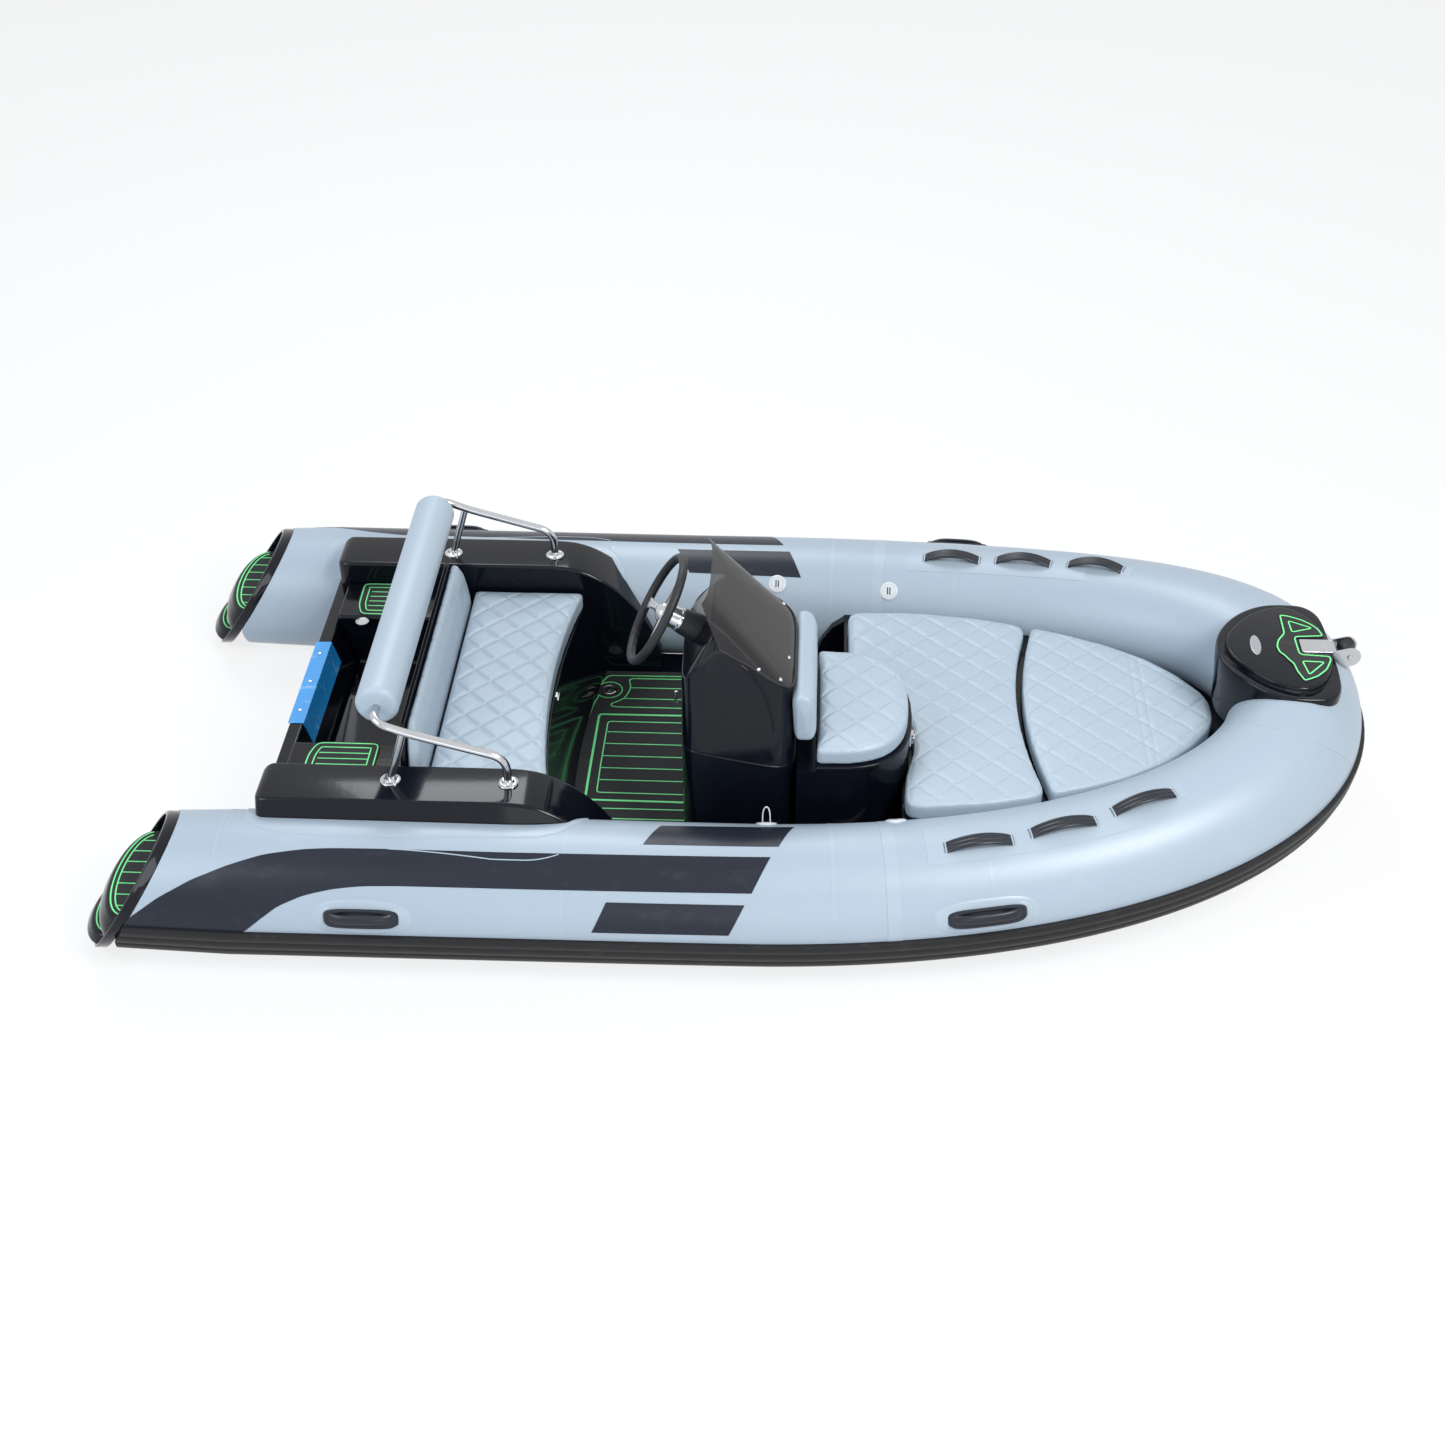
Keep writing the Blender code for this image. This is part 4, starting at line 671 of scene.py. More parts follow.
# %% Chambers and tapes
AROUND = np.linspace(-180.0, 180.0, 80, endpoint=False)
FIT = 0.0003


def chamber(name, start, end, rows):
    share = np.linspace(0.0, 1.0, rows)[:, None]
    along = start + (end - start) * share
    return add_piece(name, [loft(skin(along, AROUND[None, :], side=1))], collar_pvc)


def stern_chamber(label, side):
    share = np.linspace(0.0, 1.0, 120)[:, None]
    start = stern_start(AROUND, CAP_BAND + FIT)[None, :]
    along = start + (SPLIT - start) * share
    return add_piece(f"collar_skin_{label}", [loft(skin(along, AROUND[None, :], side=side))], collar_pvc,
                     stands_for=[f"collar_{label}"])


def tape(low, high, thickness, angles=None, side=1, soft=0.0):
    """A strip round the collar: a slab between two distances, just proud of the skin."""
    looped = angles is None
    angle = np.linspace(-180.0, 180.0, 96, endpoint=False) if looped else np.linspace(*angles, 40)
    along = np.linspace(low, high, 6)[None, :]
    return slab(skin(along, angle[:, None], thickness, side), skin(along, angle[:, None], -0.0008, side), looped)


for label, side in (("port", 1), ("stbd", -1)):
    stern_chamber(label, side)
bow_skin = chamber("collar_skin_bow", SPLIT, 2 * HALF_LENGTH - SPLIT, 150)
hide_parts("collar_bow")
tapes = []
for side in (1, -1):
    tapes += [tape(SPLIT - 0.020, SPLIT + 0.020, 0.0011, side=side),
              tape(2.062, 2.074, 0.0007, (20.0, 165.0), side), tape(2.500, 2.512, 0.0007, (20.0, 165.0), side),
              tape(1.300, 1.308, 0.0005, (2.0, 110.0), side), tape(0.300, 0.310, 0.0005, (60.0, 150.0), side)]
    bow_seam = evened([(3.478, 1.40), (3.478, 0.97), (3.510, 0.70), (3.549, 0.436), (3.600, 0.120)], 0.02, 0.06, looped=False)
    along, angle = bow_seam[:, :1] + np.linspace(-0.003, 0.003, 4), bow_seam[:, 1:] * 100.0
    tapes.append(slab(skin(along, angle, 0.0006, side), skin(along, angle, -0.0008, side)))
add_piece("collar_tapes", tapes, seam_pvc)
print("chambers and", len(tapes), "tapes")

# %% [markdown]
# ## Decals
# The dark shapes are thin fabric glued to each side: a band that sweeps up from the rub rail at the
# stern, with a slanted patch above and below its forward end. Each lies between two edge curves on the
# skin. The port shapes sit about 13 degrees higher round the tube, as the photograph shows them.

# %% Decals
PORT_SHIFT = 13.0
BAND_TOP = np.array([(0.030, -2.0), (0.058, 9.6), (0.148, 28.4), (0.244, 43.4), (0.347, 55.4), (0.446, 65.0),
                     (0.558, 70.4), (0.640, 72.0), (0.786, 72.6), (1.139, 72.5), (1.893, 74.4)])
BAND_LOW = np.array([(0.045, -2.0), (0.370, -2.0), (0.392, 1.5), (0.440, 13.0), (0.494, 24.6), (0.568, 33.8),
                     (0.651, 39.4), (0.735, 42.2), (0.838, 43.0), (1.250, 43.2), (1.842, 44.2)])
PATCHES = (((1.527, 84.0), (1.916, 84.8), (1.572, 111.2), (1.961, 114.4)),
           ((1.389, 9.1), (1.778, 9.2), (1.431, 34.8), (1.823, 35.0)))


def edge_curve(breaks, share):
    """Evenly spaced breaks joined and softened, read at shares from 0 to 1."""
    line = evened(breaks * [1.0, 0.01], 0.01, 0.04, looped=False) / [1.0, 0.01]
    at = np.linspace(0.0, 1.0, len(line))
    return np.column_stack([np.interp(share, at, line[:, k]) for k in range(2)])


def raised(angle, side):
    """The angle on this side: port shapes climb by the shift, but not where they meet the rail."""
    return angle + (PORT_SHIFT * np.clip(angle / 30.0, 0.0, 1.0) if side > 0 else 0.0)


def decal(low, top, side, thickness=0.0009, columns=14):
    """A slab between a lower and an upper edge curve, each (distance, angle)."""
    share = np.linspace(0.0, 1.0, columns)[None, :, None]
    spots = low[:, None] + (top - low)[:, None] * share
    along, angle = spots[..., 0], raised(spots[..., 1], side)
    return slab(skin(along, angle, thickness, side), skin(along, angle, -0.0008, side))


for label, side in (("port", 1), ("stbd", -1)):
    share = np.linspace(0.0, 1.0, 150)
    shapes = [decal(edge_curve(BAND_LOW, share), edge_curve(BAND_TOP, share), side)]
    for aft_low, fwd_low, aft_top, fwd_top in PATCHES:
        steps = np.linspace(0.0, 1.0, 24)[:, None]
        shapes.append(decal(np.array(aft_low) + (np.array(fwd_low) - aft_low) * steps,
                            np.array(aft_top) + (np.array(fwd_top) - aft_top) * steps, side))
    add_piece(f"decals_{label}", shapes, decal_pvc)
    sweep = np.linspace(0.80, 1.29, 60)
    arch = 72.2 - 6.5 * np.clip((sweep - 0.80) / 0.30, 0.0, 1.0) ** 1.5 + 6.0 * np.clip((sweep - 1.19) / 0.10, 0.0, 1.0) ** 2
    edge = np.column_stack([sweep, arch])
    add_piece(f"decal_pinstripe_{label}", [decal(edge, edge + [0.0, 0.9], side, 0.0013, 3)], seam_pvc)
print("decals on both sides")

# %% [markdown]
# ## Rub rail
# A thick rubber fender with three rounded ribs runs round the outside. Its section is a height above
# the skin as a function of angle: a base, plus the bump of each rib, falling to nothing at both edges.

# %% Rub rail
RAIL_LOW, RAIL_HIGH, RAIL_T = -27.0, 1.0, 0.014


def rail_height(share):
    """0.55 to 1 times the thickness: a rib is the square root of a sine; the edges round down."""
    ribs = 0.62 + 0.38 * np.abs(np.sin(3 * math.pi * share)) ** 0.45
    edge = np.clip(np.minimum(share, 1 - share) / 0.035, 0.0, 1.0) ** 0.5
    return RAIL_T * ribs * edge + FIT


def rub_rail(name, along_of, side=1):
    share = np.linspace(0.0, 1.0, 61)
    angle = RAIL_LOW + (RAIL_HIGH - RAIL_LOW) * share
    along = along_of(angle)
    outer = skin(along, angle[None, :], rail_height(share)[None, :], side)
    inner = skin(along, angle[None, :], -0.001, side)
    add_piece(name + "_ribs", [slab(outer, inner)], rub_rubber, stands_for=[name])


def from_cap(angle):
    start = stern_start(angle, CAP_BAND + FIT)[None, :]
    return start + (SPLIT - start) * np.linspace(0.0, 1.0, 90)[:, None]


rub_rail("rub_rail_port", from_cap, 1)
rub_rail("rub_rail_stbd", from_cap, -1)
rub_rail("rub_rail_bow", lambda angle: np.linspace(SPLIT, 2 * HALF_LENGTH - SPLIT, 120)[:, None] + 0 * angle)
print("rub rail in three lengths")

# %% [markdown]
# ## Stern caps with boarding treads
# Raked moulded caps close the stern of the tubes. Each carries two half-round treads with foam pads.
# The cap is a short ring of the tube's own section, cut by two parallel raked planes. A tread is a half
# ellipse in plan, carried up from the cap with a rounded top edge.

# %% Stern caps
TREADS = ((0.222, 0.196, 0.064, 0.032, 0.110), (0.088, 0.130, 0.054, 0.030, 0.030))


def cap_ring(side, ahead_of_cap, grow, sides=96):
    """A circle of the tube's radius, slid along X onto a raked plane."""
    turn = np.linspace(0.0, 2 * math.pi, sides, endpoint=False)
    y, z = (STERN_R + grow) * np.cos(turn), (STERN_R + grow) * np.sin(turn)
    return np.column_stack([CAP_X + ahead_of_cap + CAP_SLOPE * z, side * (TUBE_Y + y), TUBE_Z + z])


def cap_plane_x(z):
    return CAP_X + CAP_SLOPE * (z - TUBE_Z)


RECESS, RIM_WALL = 0.030, 0.011


def tread_ring(z, half, depth, side, pull=0.0, count=60):
    """In plan: a chord in the cap's recess and a bulge aft, x = chord - depth * sin(angle) to the 0.8."""
    chord = cap_plane_x(z) + RECESS
    angle = np.linspace(0.0, math.pi, count)
    x = chord - np.maximum(depth + RECESS - pull, 0.004) * np.sin(angle) ** 0.8
    y = side * (TUBE_Y + (half - pull) * np.cos(angle))
    return np.column_stack([x, y, np.full(count, z)])


def tread(z, half, depth, thick, foot, side):
    narrow = math.sqrt(STERN_R ** 2 - (TUBE_Z - foot) ** 2)
    rings = [tread_ring(foot, narrow, 0.002, side)]
    for share in np.linspace(0.15, 1.0, 6):
        swell = math.sin(share * math.pi / 2) ** 0.9
        rings.append(tread_ring(foot + (z - thick - foot) * share, narrow + (half - narrow) * swell,
                                0.002 + (depth - 0.002) * swell, side))
    for turn in np.linspace(0.0, math.pi / 2, 6):
        rings.append(tread_ring(z - 0.008 + 0.008 * math.sin(turn), half, depth, side, 0.008 * (1 - math.cos(turn))))
    return loft(rings)


def tread_pad(z, half, depth, side):
    """The foam pad on a tread, its two green arcs and the planks' lines along X."""
    edge, arcs, low, high = 0.009, (0.014, 0.028), z + 0.0022, z + 0.0037
    pads = [plate(evened(tread_ring(z, half, depth, side, edge)[:, :2], 0.004, 0.008), z - 0.001, z + 0.0030, 0.0010)]
    chord, lines = cap_plane_x(z) + RECESS - 0.003, []
    for pull in arcs:
        arc = tread_ring(z, half, depth, side, pull)[3:-3, :2]
        lines.append(ribbon(evened(arc, 0.004, looped=False), 0.0042, low, high))
    inner = tread_ring(z, half, depth, side, arcs[-1])
    order = np.argsort(inner[:, 1])
    for y in side * TUBE_Y + np.arange(-3, 4) * 0.047:
        start = np.interp(y, inner[order, 1], inner[order, 0], left=chord, right=chord)
        if chord - start > 0.020:
            lines.append(ribbon(evened([(start, y), (chord, y)], 0.004, looped=False), 0.0034, low, high - 0.0001))
    return pads, lines


for label, side in (("port", 1), ("stbd", -1)):
    edge = [(CAP_BAND, -0.001), (CAP_BAND - 0.004, 0.0012), (0.005, 0.0012), (0.0015, -0.001), (0.0, -0.004),
            (0.0, -0.007), (0.0015, -0.0100), (0.005, -RIM_WALL), (RECESS - 0.002, -RIM_WALL)]
    cap = [loft([cap_ring(side, ahead_of_cap, grow) for ahead_of_cap, grow in edge])]
    pads, lines = [], []
    for z, half, depth, thick, foot in TREADS:
        cap.append(tread(z, half, depth, thick, foot, side))
        more = tread_pad(z, half, depth, side)
        pads += more[0]
        lines += more[1]
    add_piece(f"cap_moulding_{label}", cap, gelcoat, stands_for=[f"stern_cap_{label}"])
    add_piece(f"tread_pads_{label}", pads, foam_deck)
    add_piece(f"tread_lines_{label}", lines, green_line)
print("stern caps with", len(TREADS), "treads each")

# %% [markdown]
# ## Side boxes
# Tall glossy coamings cover the inner top of the collar beside the bench and sweep down to the floor.
# Each is a section carried along X: up the inner wall, over a rounded edge, across the flat top, over
# the outer edge and down to the collar. The top's height follows the sweep, and at the stern the
# section draws in to round the end.

# %% Side boxes
SOLE_Z, WALL_Y, BOX_TOP, BOX_OUTER, BOX_EDGE = 0.035, 0.527, 0.465, 0.690, 0.032
SWEEP = np.array([(0.013, 0.0), (0.740, 0.0), (0.800, 0.002), (0.860, 0.020), (0.922, 0.058), (0.978, 0.108),
                  (1.038, 0.184), (1.088, 0.287), (1.102, 0.350)])


def box_section(top, pull, wall_low):
    """Half a turn of points (y, z) from the foot of the inner wall to inside the collar."""
    r_in, r_out = 0.012, 0.014
    turn = np.linspace(0.0, math.pi / 2, 7)
    wall, outer = WALL_Y + pull, BOX_OUTER - pull
    inner_arc = np.column_stack([wall + r_in * (1 - np.cos(turn)), top - r_in * (1 - np.sin(turn))])
    lean = math.radians(58.0)
    turn = np.linspace(0.0, lean, 7)
    outer_arc = np.column_stack([outer - r_out * (1 - np.sin(turn)) + 0.010, top - r_out * (1 - np.cos(turn))])
    low = np.array([(outer + 0.014, top - 0.020), (outer + 0.024, top - 0.045), (outer + BOX_EDGE, top - 0.066),
                    (outer + BOX_EDGE - 0.02, top - 0.12), (0.62, min(top - 0.2, 0.17))])
    return np.vstack([[(wall, wall_low)], [(wall, (wall_low + top) / 2)], inner_arc, outer_arc, low])


for label, side in (("port", 1), ("stbd", -1)):
    line = evened(SWEEP, 0.008, 0.070, looped=False)
    rings = []
    for turn in np.linspace(0.0, math.pi / 2, 10)[:-1]:
        pull = 0.032 * (1 - math.sin(turn))
        rings.append((0.013 + 0.032 * (1 - math.cos(turn)), BOX_TOP - pull * 0.5, pull))
    rings += [(x, BOX_TOP - drop, 0.0) for x, drop in line if x > 0.0455]
    sections = []
    for x, top, pull in rings:
        wall_low = SOLE_Z + FIT if x > 0.075 else 0.3605
        section = box_section(top, pull, min(wall_low, top - 0.03))
        sections.append(np.column_stack([np.full(len(section), x), side * section[:, 0], section[:, 1]]))
    add_piece(f"side_coaming_{label}", [loft(sections)], gelcoat, stands_for=[f"side_box_{label}"])

# %% [markdown]
# A flange of collar fabric is glued round the foot of each box. It lies on the skin and fades out at a
# soft edge, which catches the light as a pale line along the tube.

# %% Box flanges
FLANGE = np.array([(0.352, 118.0), (0.366, 99.8), (0.417, 89.0), (0.462, 85.4), (0.613, 83.0), (0.927, 84.4),
                   (1.229, 87.6), (1.287, 95.2), (1.332, 111.4), (1.352, 126.0)])
for label, side in (("port", 1), ("stbd", -1)):
    line = edge_curve(FLANGE, np.linspace(0.0, 1.0, 120))
    share = np.linspace(0.0, 1.0, 14)[None, :]
    along = line[:, :1] + 0 * share
    angle = line[:, 1:] + (138.0 - line[:, 1:]) * share ** 1.6
    lift = 0.0004 + 0.0032 * np.clip(share / 0.35, 0.0, 1.0) ** 0.7 + 0 * angle
    add_piece(f"box_flange_{label}", [slab(skin(along, angle, lift, side), skin(along, angle, -0.002, side))],
              seam_pvc)
print("side boxes and flanges")

# %% [markdown]
# ## Moulded parts that keep the solid's shape
# Transom, splash well, bench and lockers are plain moulded forms, so a merged copy of the solid is
# enough: its flat faces are joined, and a Bevel rounds the edges, as gelcoat mouldings always are.

# %% Dressed copies
def dressed(node, material, width, body="boat", segments=3, angle=28.0, sharp=30.0):
    """A merged copy of a solid with rounded edges, standing for it."""
    work = bmesh.new()
    work.from_mesh(nodes[node].data)
    bmesh.ops.remove_doubles(work, verts=work.verts, dist=1e-5)
    bmesh.ops.dissolve_limit(work, angle_limit=math.radians(0.6), verts=work.verts, edges=work.edges)
    data = bpy.data.meshes.new(node + "_moulding")
    work.to_mesh(data)
    work.free()
    thing = finish_piece(node + "_moulding", data, material, body, [node], sharp)
    edge = thing.modifiers.new("Bevel", "BEVEL")
    edge.width, edge.segments, edge.limit_method = width, segments, "ANGLE"
    edge.angle_limit = math.radians(angle)
    edge.harden_normals = True
    return thing


dressed("transom", gelcoat, 0.006)
dressed("stern_deck", gelcoat, 0.012)
dressed("bench_back", gelcoat, 0.004)
dressed("bench_base", gelcoat, 0.004)
dressed("bench_lid", gelcoat, 0.003, body="bench_top")
dressed("seat_box", gelcoat, 0.004)
dressed("seat_lid", gelcoat, 0.004, body="seat_top")
dressed("bow_locker", gelcoat, 0.006)
dressed("hull", hull_gelcoat, 0.003)
dressed("motor_plate", blue_film, 0.0008)
dressed("cockpit_sole", gelcoat, 0.0006)

# %% [markdown]
# ## Foam decking
# The floor carries a closed-cell foam sheet, cut to a shape with green lines routed through its upper
# layer. The pads are plates with a small round edge, and each green line is a ribbon of one width that
# stands a hair above the foam.

# %% Floor pad and its lines
SOLE_PAD = SOLE_Z + 0.0050
LINE_LOW, LINE_HIGH = SOLE_PAD - 0.0010, SOLE_PAD + 0.0006
PAD_EDGE = [(1.235, 0.522), (0.905, 0.522), (0.897, 0.480), (0.905, 0.470), (0.885, 0.385), (0.868, 0.290), (0.853, 0.180), (0.847, 0.060),
            (0.848, -0.060), (0.856, -0.180), (0.872, -0.290), (0.890, -0.385), (0.905, -0.470), (0.905, -0.522), (1.235, -0.522)]
forward_pad = [(1.560, 0.120), (1.560, 0.500), (1.245, 0.505), (1.245, 0.120)]
pads = [plate(evened(PAD_EDGE, 0.006, 0.014), SOLE_Z - 0.001, SOLE_PAD, 0.0015),
        plate(evened(forward_pad, 0.006, 0.030), SOLE_Z - 0.001, SOLE_PAD, 0.0015)]
add_piece("floor_pads", pads, foam_deck)
print("floor pads")


def green(points, width=0.0042, soften=0.012, looped=False, low=LINE_LOW, high=LINE_HIGH):
    """A green line of one width through points in plan, with small round corners."""
    return ribbon(evened(points, 0.004, soften, looped), width, low, high, looped)


RING = np.array([0.930, 0.4114])
turn = np.radians(np.linspace(-152.0, 160.0, 40))
lines = []
for side in (1, -1):
    flip = np.array([1.0, side])
    ring_line = RING + 0.045 * np.column_stack([np.cos(turn), np.sin(turn)])
    outer = [(1.232, 0.4965), (0.930, 0.4945), (0.918, 0.490)] + [tuple(p) for p in ring_line[::-1]]
    left_edge = [(0.8985, 0.380), (0.8843, 0.3341), (0.875, 0.2701), (0.8655, 0.180), (0.8608, 0.1188), (0.8602, 0.0)]
    scallop = [(1.232, 0.4806), (0.9970, 0.4790), (0.9932, 0.4700), (1.0000, 0.4450), (1.0018, 0.4232), (0.9956, 0.3945),
               (0.9862, 0.3677), (0.9652, 0.3484), (0.9436, 0.3375), (0.9399, 0.3251), (0.9543, 0.3173), (1.232, 0.3172)]
    lines += [green(np.array(outer + left_edge) * flip, 0.0040), green(np.array(scallop) * flip, 0.0040)]
    for y, x_from in ((0.4265, 1.0020), (0.3650, 0.9850)):
        lines.append(green(np.array([(x_from, y), (1.232, y)]) * flip, 0.0036, 0.0))
thick = [(1.232, 0.2768), (0.9085, 0.2751), (0.9053, 0.0), (0.9047, -0.1700), (1.232, -0.1730)]
thin = [(1.232, 0.2371), (0.9415, 0.2369), (0.9384, 0.0), (0.9387, -0.1330), (1.232, -0.1350)]
lines += [green(thick, 0.0078, 0.016), green(thin, 0.0040)]
for y in (0.1808, 0.1186, 0.0537, -0.0081, -0.0691):
    lines.append(green([(0.9400, y), (1.232, y - 0.001)], 0.0036, 0.0))
for x_from, y in ((0.965, -0.2110), (1.000, -0.2600)):
    lines.append(green([(x_from, y), (1.232, y)], 0.0040, 0.0))
for border, width in ((0.022, 0.0040), (0.055, 0.0036)):
    lines.append(ribbon(evened(inset(evened(forward_pad, 0.006, 0.030), border), 0.005, 0.02), width, LINE_LOW, LINE_HIGH, True))
for y in (0.235, 0.300, 0.365):
    lines.append(green([(1.305, y), (1.500, y)], 0.0036, 0.0))
add_piece("floor_lines", lines, green_line)
print("floor lines:", len(lines))

# %% Shelf pads at the stern
SHELF_Z = 0.385
SHELF_HIGH = SHELF_Z + 0.0042
shelf_outline = np.array([(0.098, 0.522), (0.100, 0.395), (0.118, 0.336), (0.316, 0.336), (0.316, 0.522)])
pads, lines = [], []
for side in (1, -1):
    outline = evened(shelf_outline * [1.0, side], 0.005, 0.030)
    pads.append(plate(outline, SHELF_Z - 0.001, SHELF_HIGH, 0.0014))
    for border in (0.006, 0.026):
        lines.append(ribbon(evened(inset(outline, border), 0.005, 0.012), 0.0038, SHELF_HIGH - 0.001, SHELF_HIGH + 0.0006, True))
    for y in (0.389, 0.416, 0.443, 0.470):
        lines.append(green([(0.136, side * y), (0.289, side * y)], 0.0032, 0.0, False, SHELF_HIGH - 0.001, SHELF_HIGH + 0.0006))
add_piece("shelf_pads", pads, foam_deck)
add_piece("shelf_lines", lines, green_line)
print("shelf pads")

# %% [markdown]
# ## Cushions
# Each cushion is foam in stitched vinyl: flat where it rests, with round edges and a crowned top that
# the quilting pulls down along its lines. The start shape is the solid's outline, drawn in a little and
# carried up with round edges. It is remeshed and swollen as cloth under pressure, and every point's
# move is capped. Quilting comes after, as narrow valleys along two families of lines.

# %% Cushion recipe
QUILT_SPACING, QUILT_ANGLE, QUILT_DEPTH = 0.041, math.radians(45.0), 0.0026


def top_outline(node):
    """The ring of edges that only one of the solid's topmost triangles uses, in order."""
    data = nodes[node].data
    place = np.array([v.co for v in data.vertices])
    high = place[:, 2].max() - 1e-4
    edges = {}
    for face in data.polygons:
        ring = [tuple(np.round(place[k], 5)) for k in face.vertices]
        if min(p[2] for p in ring) > high:
            for a, b in zip(ring, ring[1:] + ring[:1]):
                if (b, a) in edges:
                    del edges[(b, a)]
                else:
                    edges[(a, b)] = True
    follow = {a: b for a, b in edges}
    first = next(iter(follow))
    ring, spot = [first], follow[first]
    while spot != first:
        ring.append(spot)
        spot = follow[spot]
    return np.array(ring)[:, :2]


def apply_all(thing):
    """Replace the mesh with what its modifiers make of it."""
    graph = bpy.context.evaluated_depsgraph_get()
    made = bpy.data.meshes.new_from_object(thing.evaluated_get(graph))
    thing.modifiers.clear()
    old = thing.data
    thing.data = made
    bpy.data.meshes.remove(old)


def points_of(data):
    flat = np.empty(len(data.vertices) * 3, np.float64)
    data.vertices.foreach_get("co", flat)
    return flat.reshape(-1, 3)


def puffed(shells, voxel, reach, pressure=4.0, floor_z=None):
    """Remesh a closed start shape, swell it as cloth for 20 frames, and cap each point's move."""
    points, faces, start = [], [], 0
    for shell_points, shell_faces in shells:
        points.append(shell_points)
        faces += [[start + k for k in face] for face in shell_faces]
        start += len(shell_points)
    data = bpy.data.meshes.new("start")
    data.from_pydata(np.concatenate(points).tolist(), [], faces)
    work = bmesh.new()
    work.from_mesh(data)
    bmesh.ops.recalc_face_normals(work, faces=work.faces)
    work.to_mesh(data)
    work.free()
    thing = bpy.data.objects.new("start", data)
    bpy.context.scene.collection.objects.link(thing)
    mesher = thing.modifiers.new("Remesh", "REMESH")
    mesher.mode, mesher.voxel_size = "VOXEL", voxel
    apply_all(thing)
    before = points_of(thing.data)
    cloth = thing.modifiers.new("Cloth", "CLOTH")
    cloth.settings.use_pressure = True
    cloth.settings.uniform_pressure_force = pressure
    cloth.settings.effector_weights.gravity = 0.0
    cloth.settings.quality = 5
    cloth.point_cache.frame_start, cloth.point_cache.frame_end = 1, 20
    for number in range(1, 21):
        bpy.context.scene.frame_set(number)
        bpy.context.view_layer.update()
    apply_all(thing)
    bpy.context.scene.frame_set(1)
    after = points_of(thing.data)
    move = after - before
    size = np.linalg.norm(move, axis=1)[:, None]
    after = before + move * np.minimum(1.0, reach / np.maximum(size, 1e-9))
    if floor_z is not None:
        after[:, 2] = np.maximum(after[:, 2], floor_z)
    thing.data.vertices.foreach_set("co", after.ravel())
    finer = thing.modifiers.new("Subdivision", "SUBSURF")
    finer.levels = finer.render_levels = 1
    apply_all(thing)
    data = thing.data
    bpy.data.objects.remove(thing)
    return data


def quilt_lines(points, spacing, angle, shift):
    """How far each point is from the nearest line of both families, in metres."""
    x, y = points[:, 0] - shift[0], points[:, 1] - shift[1]
    near = []
    for sign in (1.0, -1.0):
        across = x * math.sin(sign * angle) + y * math.cos(sign * angle)
        near.append(np.abs(np.mod(across + spacing, 2 * spacing) - spacing))
    return np.minimum(near[0], near[1])


def vertex_normals(data):
    flat = np.empty(len(data.vertices) * 3, np.float32)
    data.vertices.foreach_get("normal", flat)
    return flat.reshape(-1, 3).astype(float)


def edge_distance(points, outline):
    """How far each point is in plan from the nearest point of an evened outline."""
    nearest = np.full(len(points), np.inf)
    for chunk in np.array_split(outline, 24):
        nearest = np.minimum(nearest, np.min(np.linalg.norm(points[:, None, :2] - chunk[None], axis=2), axis=1))
    return nearest


def press(data, depth, width, spacing, angle, shift, low_z, outline, bands):
    """Sink the top along the quilting lines: depth times exp(-(distance / width) squared), and puff
    each diamond by a part of the depth in its middle. A sewn welt follows the edge, and each band
    is a seam straight across."""
    points, normal = points_of(data), vertex_normals(data)
    gap = quilt_lines(points, spacing, angle, shift)
    facing = np.clip((normal[:, 2] - 0.75) / 0.2, 0.0, 1.0) * (points[:, 2] > low_z)
    sink = depth * (np.exp(-(gap / width) ** 2) - 0.45 * np.clip(gap / (0.35 * spacing), 0.0, 1.0))
    inside = edge_distance(points, outline)
    sink = sink * np.clip((inside - 0.013) / 0.012, 0.0, 1.0) + 0.0016 * np.exp(-((inside - 0.0125) / 0.0028) ** 2)
    for x in bands:
        sink += 0.0026 * np.exp(-((points[:, 0] - x) / 0.0035) ** 2)
    points[:, 2] -= sink * facing
    data.vertices.foreach_set("co", points.ravel())
    data.update()


def cushion_shell(outline, low, high, edge, draw_in, foot=0.006):
    """The outline carried up: a small round at the foot and a quarter ellipse at the top."""
    rings = [at_height(inset(outline, draw_in + foot), low), at_height(inset(outline, draw_in), low + foot)]
    for turn in np.linspace(0.0, math.pi / 2, 5):
        rings.append(at_height(inset(outline, draw_in + edge * (1 - math.cos(turn))), high - edge * (1 - math.sin(turn)) - draw_in))
    return loft(rings)


def pad_on(node, name, corner, edge, draw_in, voxel, reach, body, shift, tip=0.0, bands=()):
    """A stuffed pad with the outline of a flat solid, which it stands for; a tip grows forward."""
    low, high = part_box(node)
    outline = evened(top_outline(node), 0.006, corner)
    outline += (inset(outline, -tip) - outline) * np.clip((outline[:, :1] - TIP_X[0]) / (TIP_X[1] - TIP_X[0]), 0.0, 1.0)
    data = puffed([cushion_shell(outline, low.z, high.z, edge, draw_in)], voxel, reach, floor_z=low.z)
    press(data, QUILT_DEPTH, 0.0050, QUILT_SPACING, QUILT_ANGLE, shift, (low.z + high.z) / 2, outline, bands)
    material = quilted(name + "_vinyl", QUILT_SPACING, QUILT_ANGLE, (shift[0], shift[1], 0.0))
    data.name = name
    thing = finish_piece(name, data, material, body, [node], 180.0)
    print(name, len(data.polygons), "faces")
    return thing


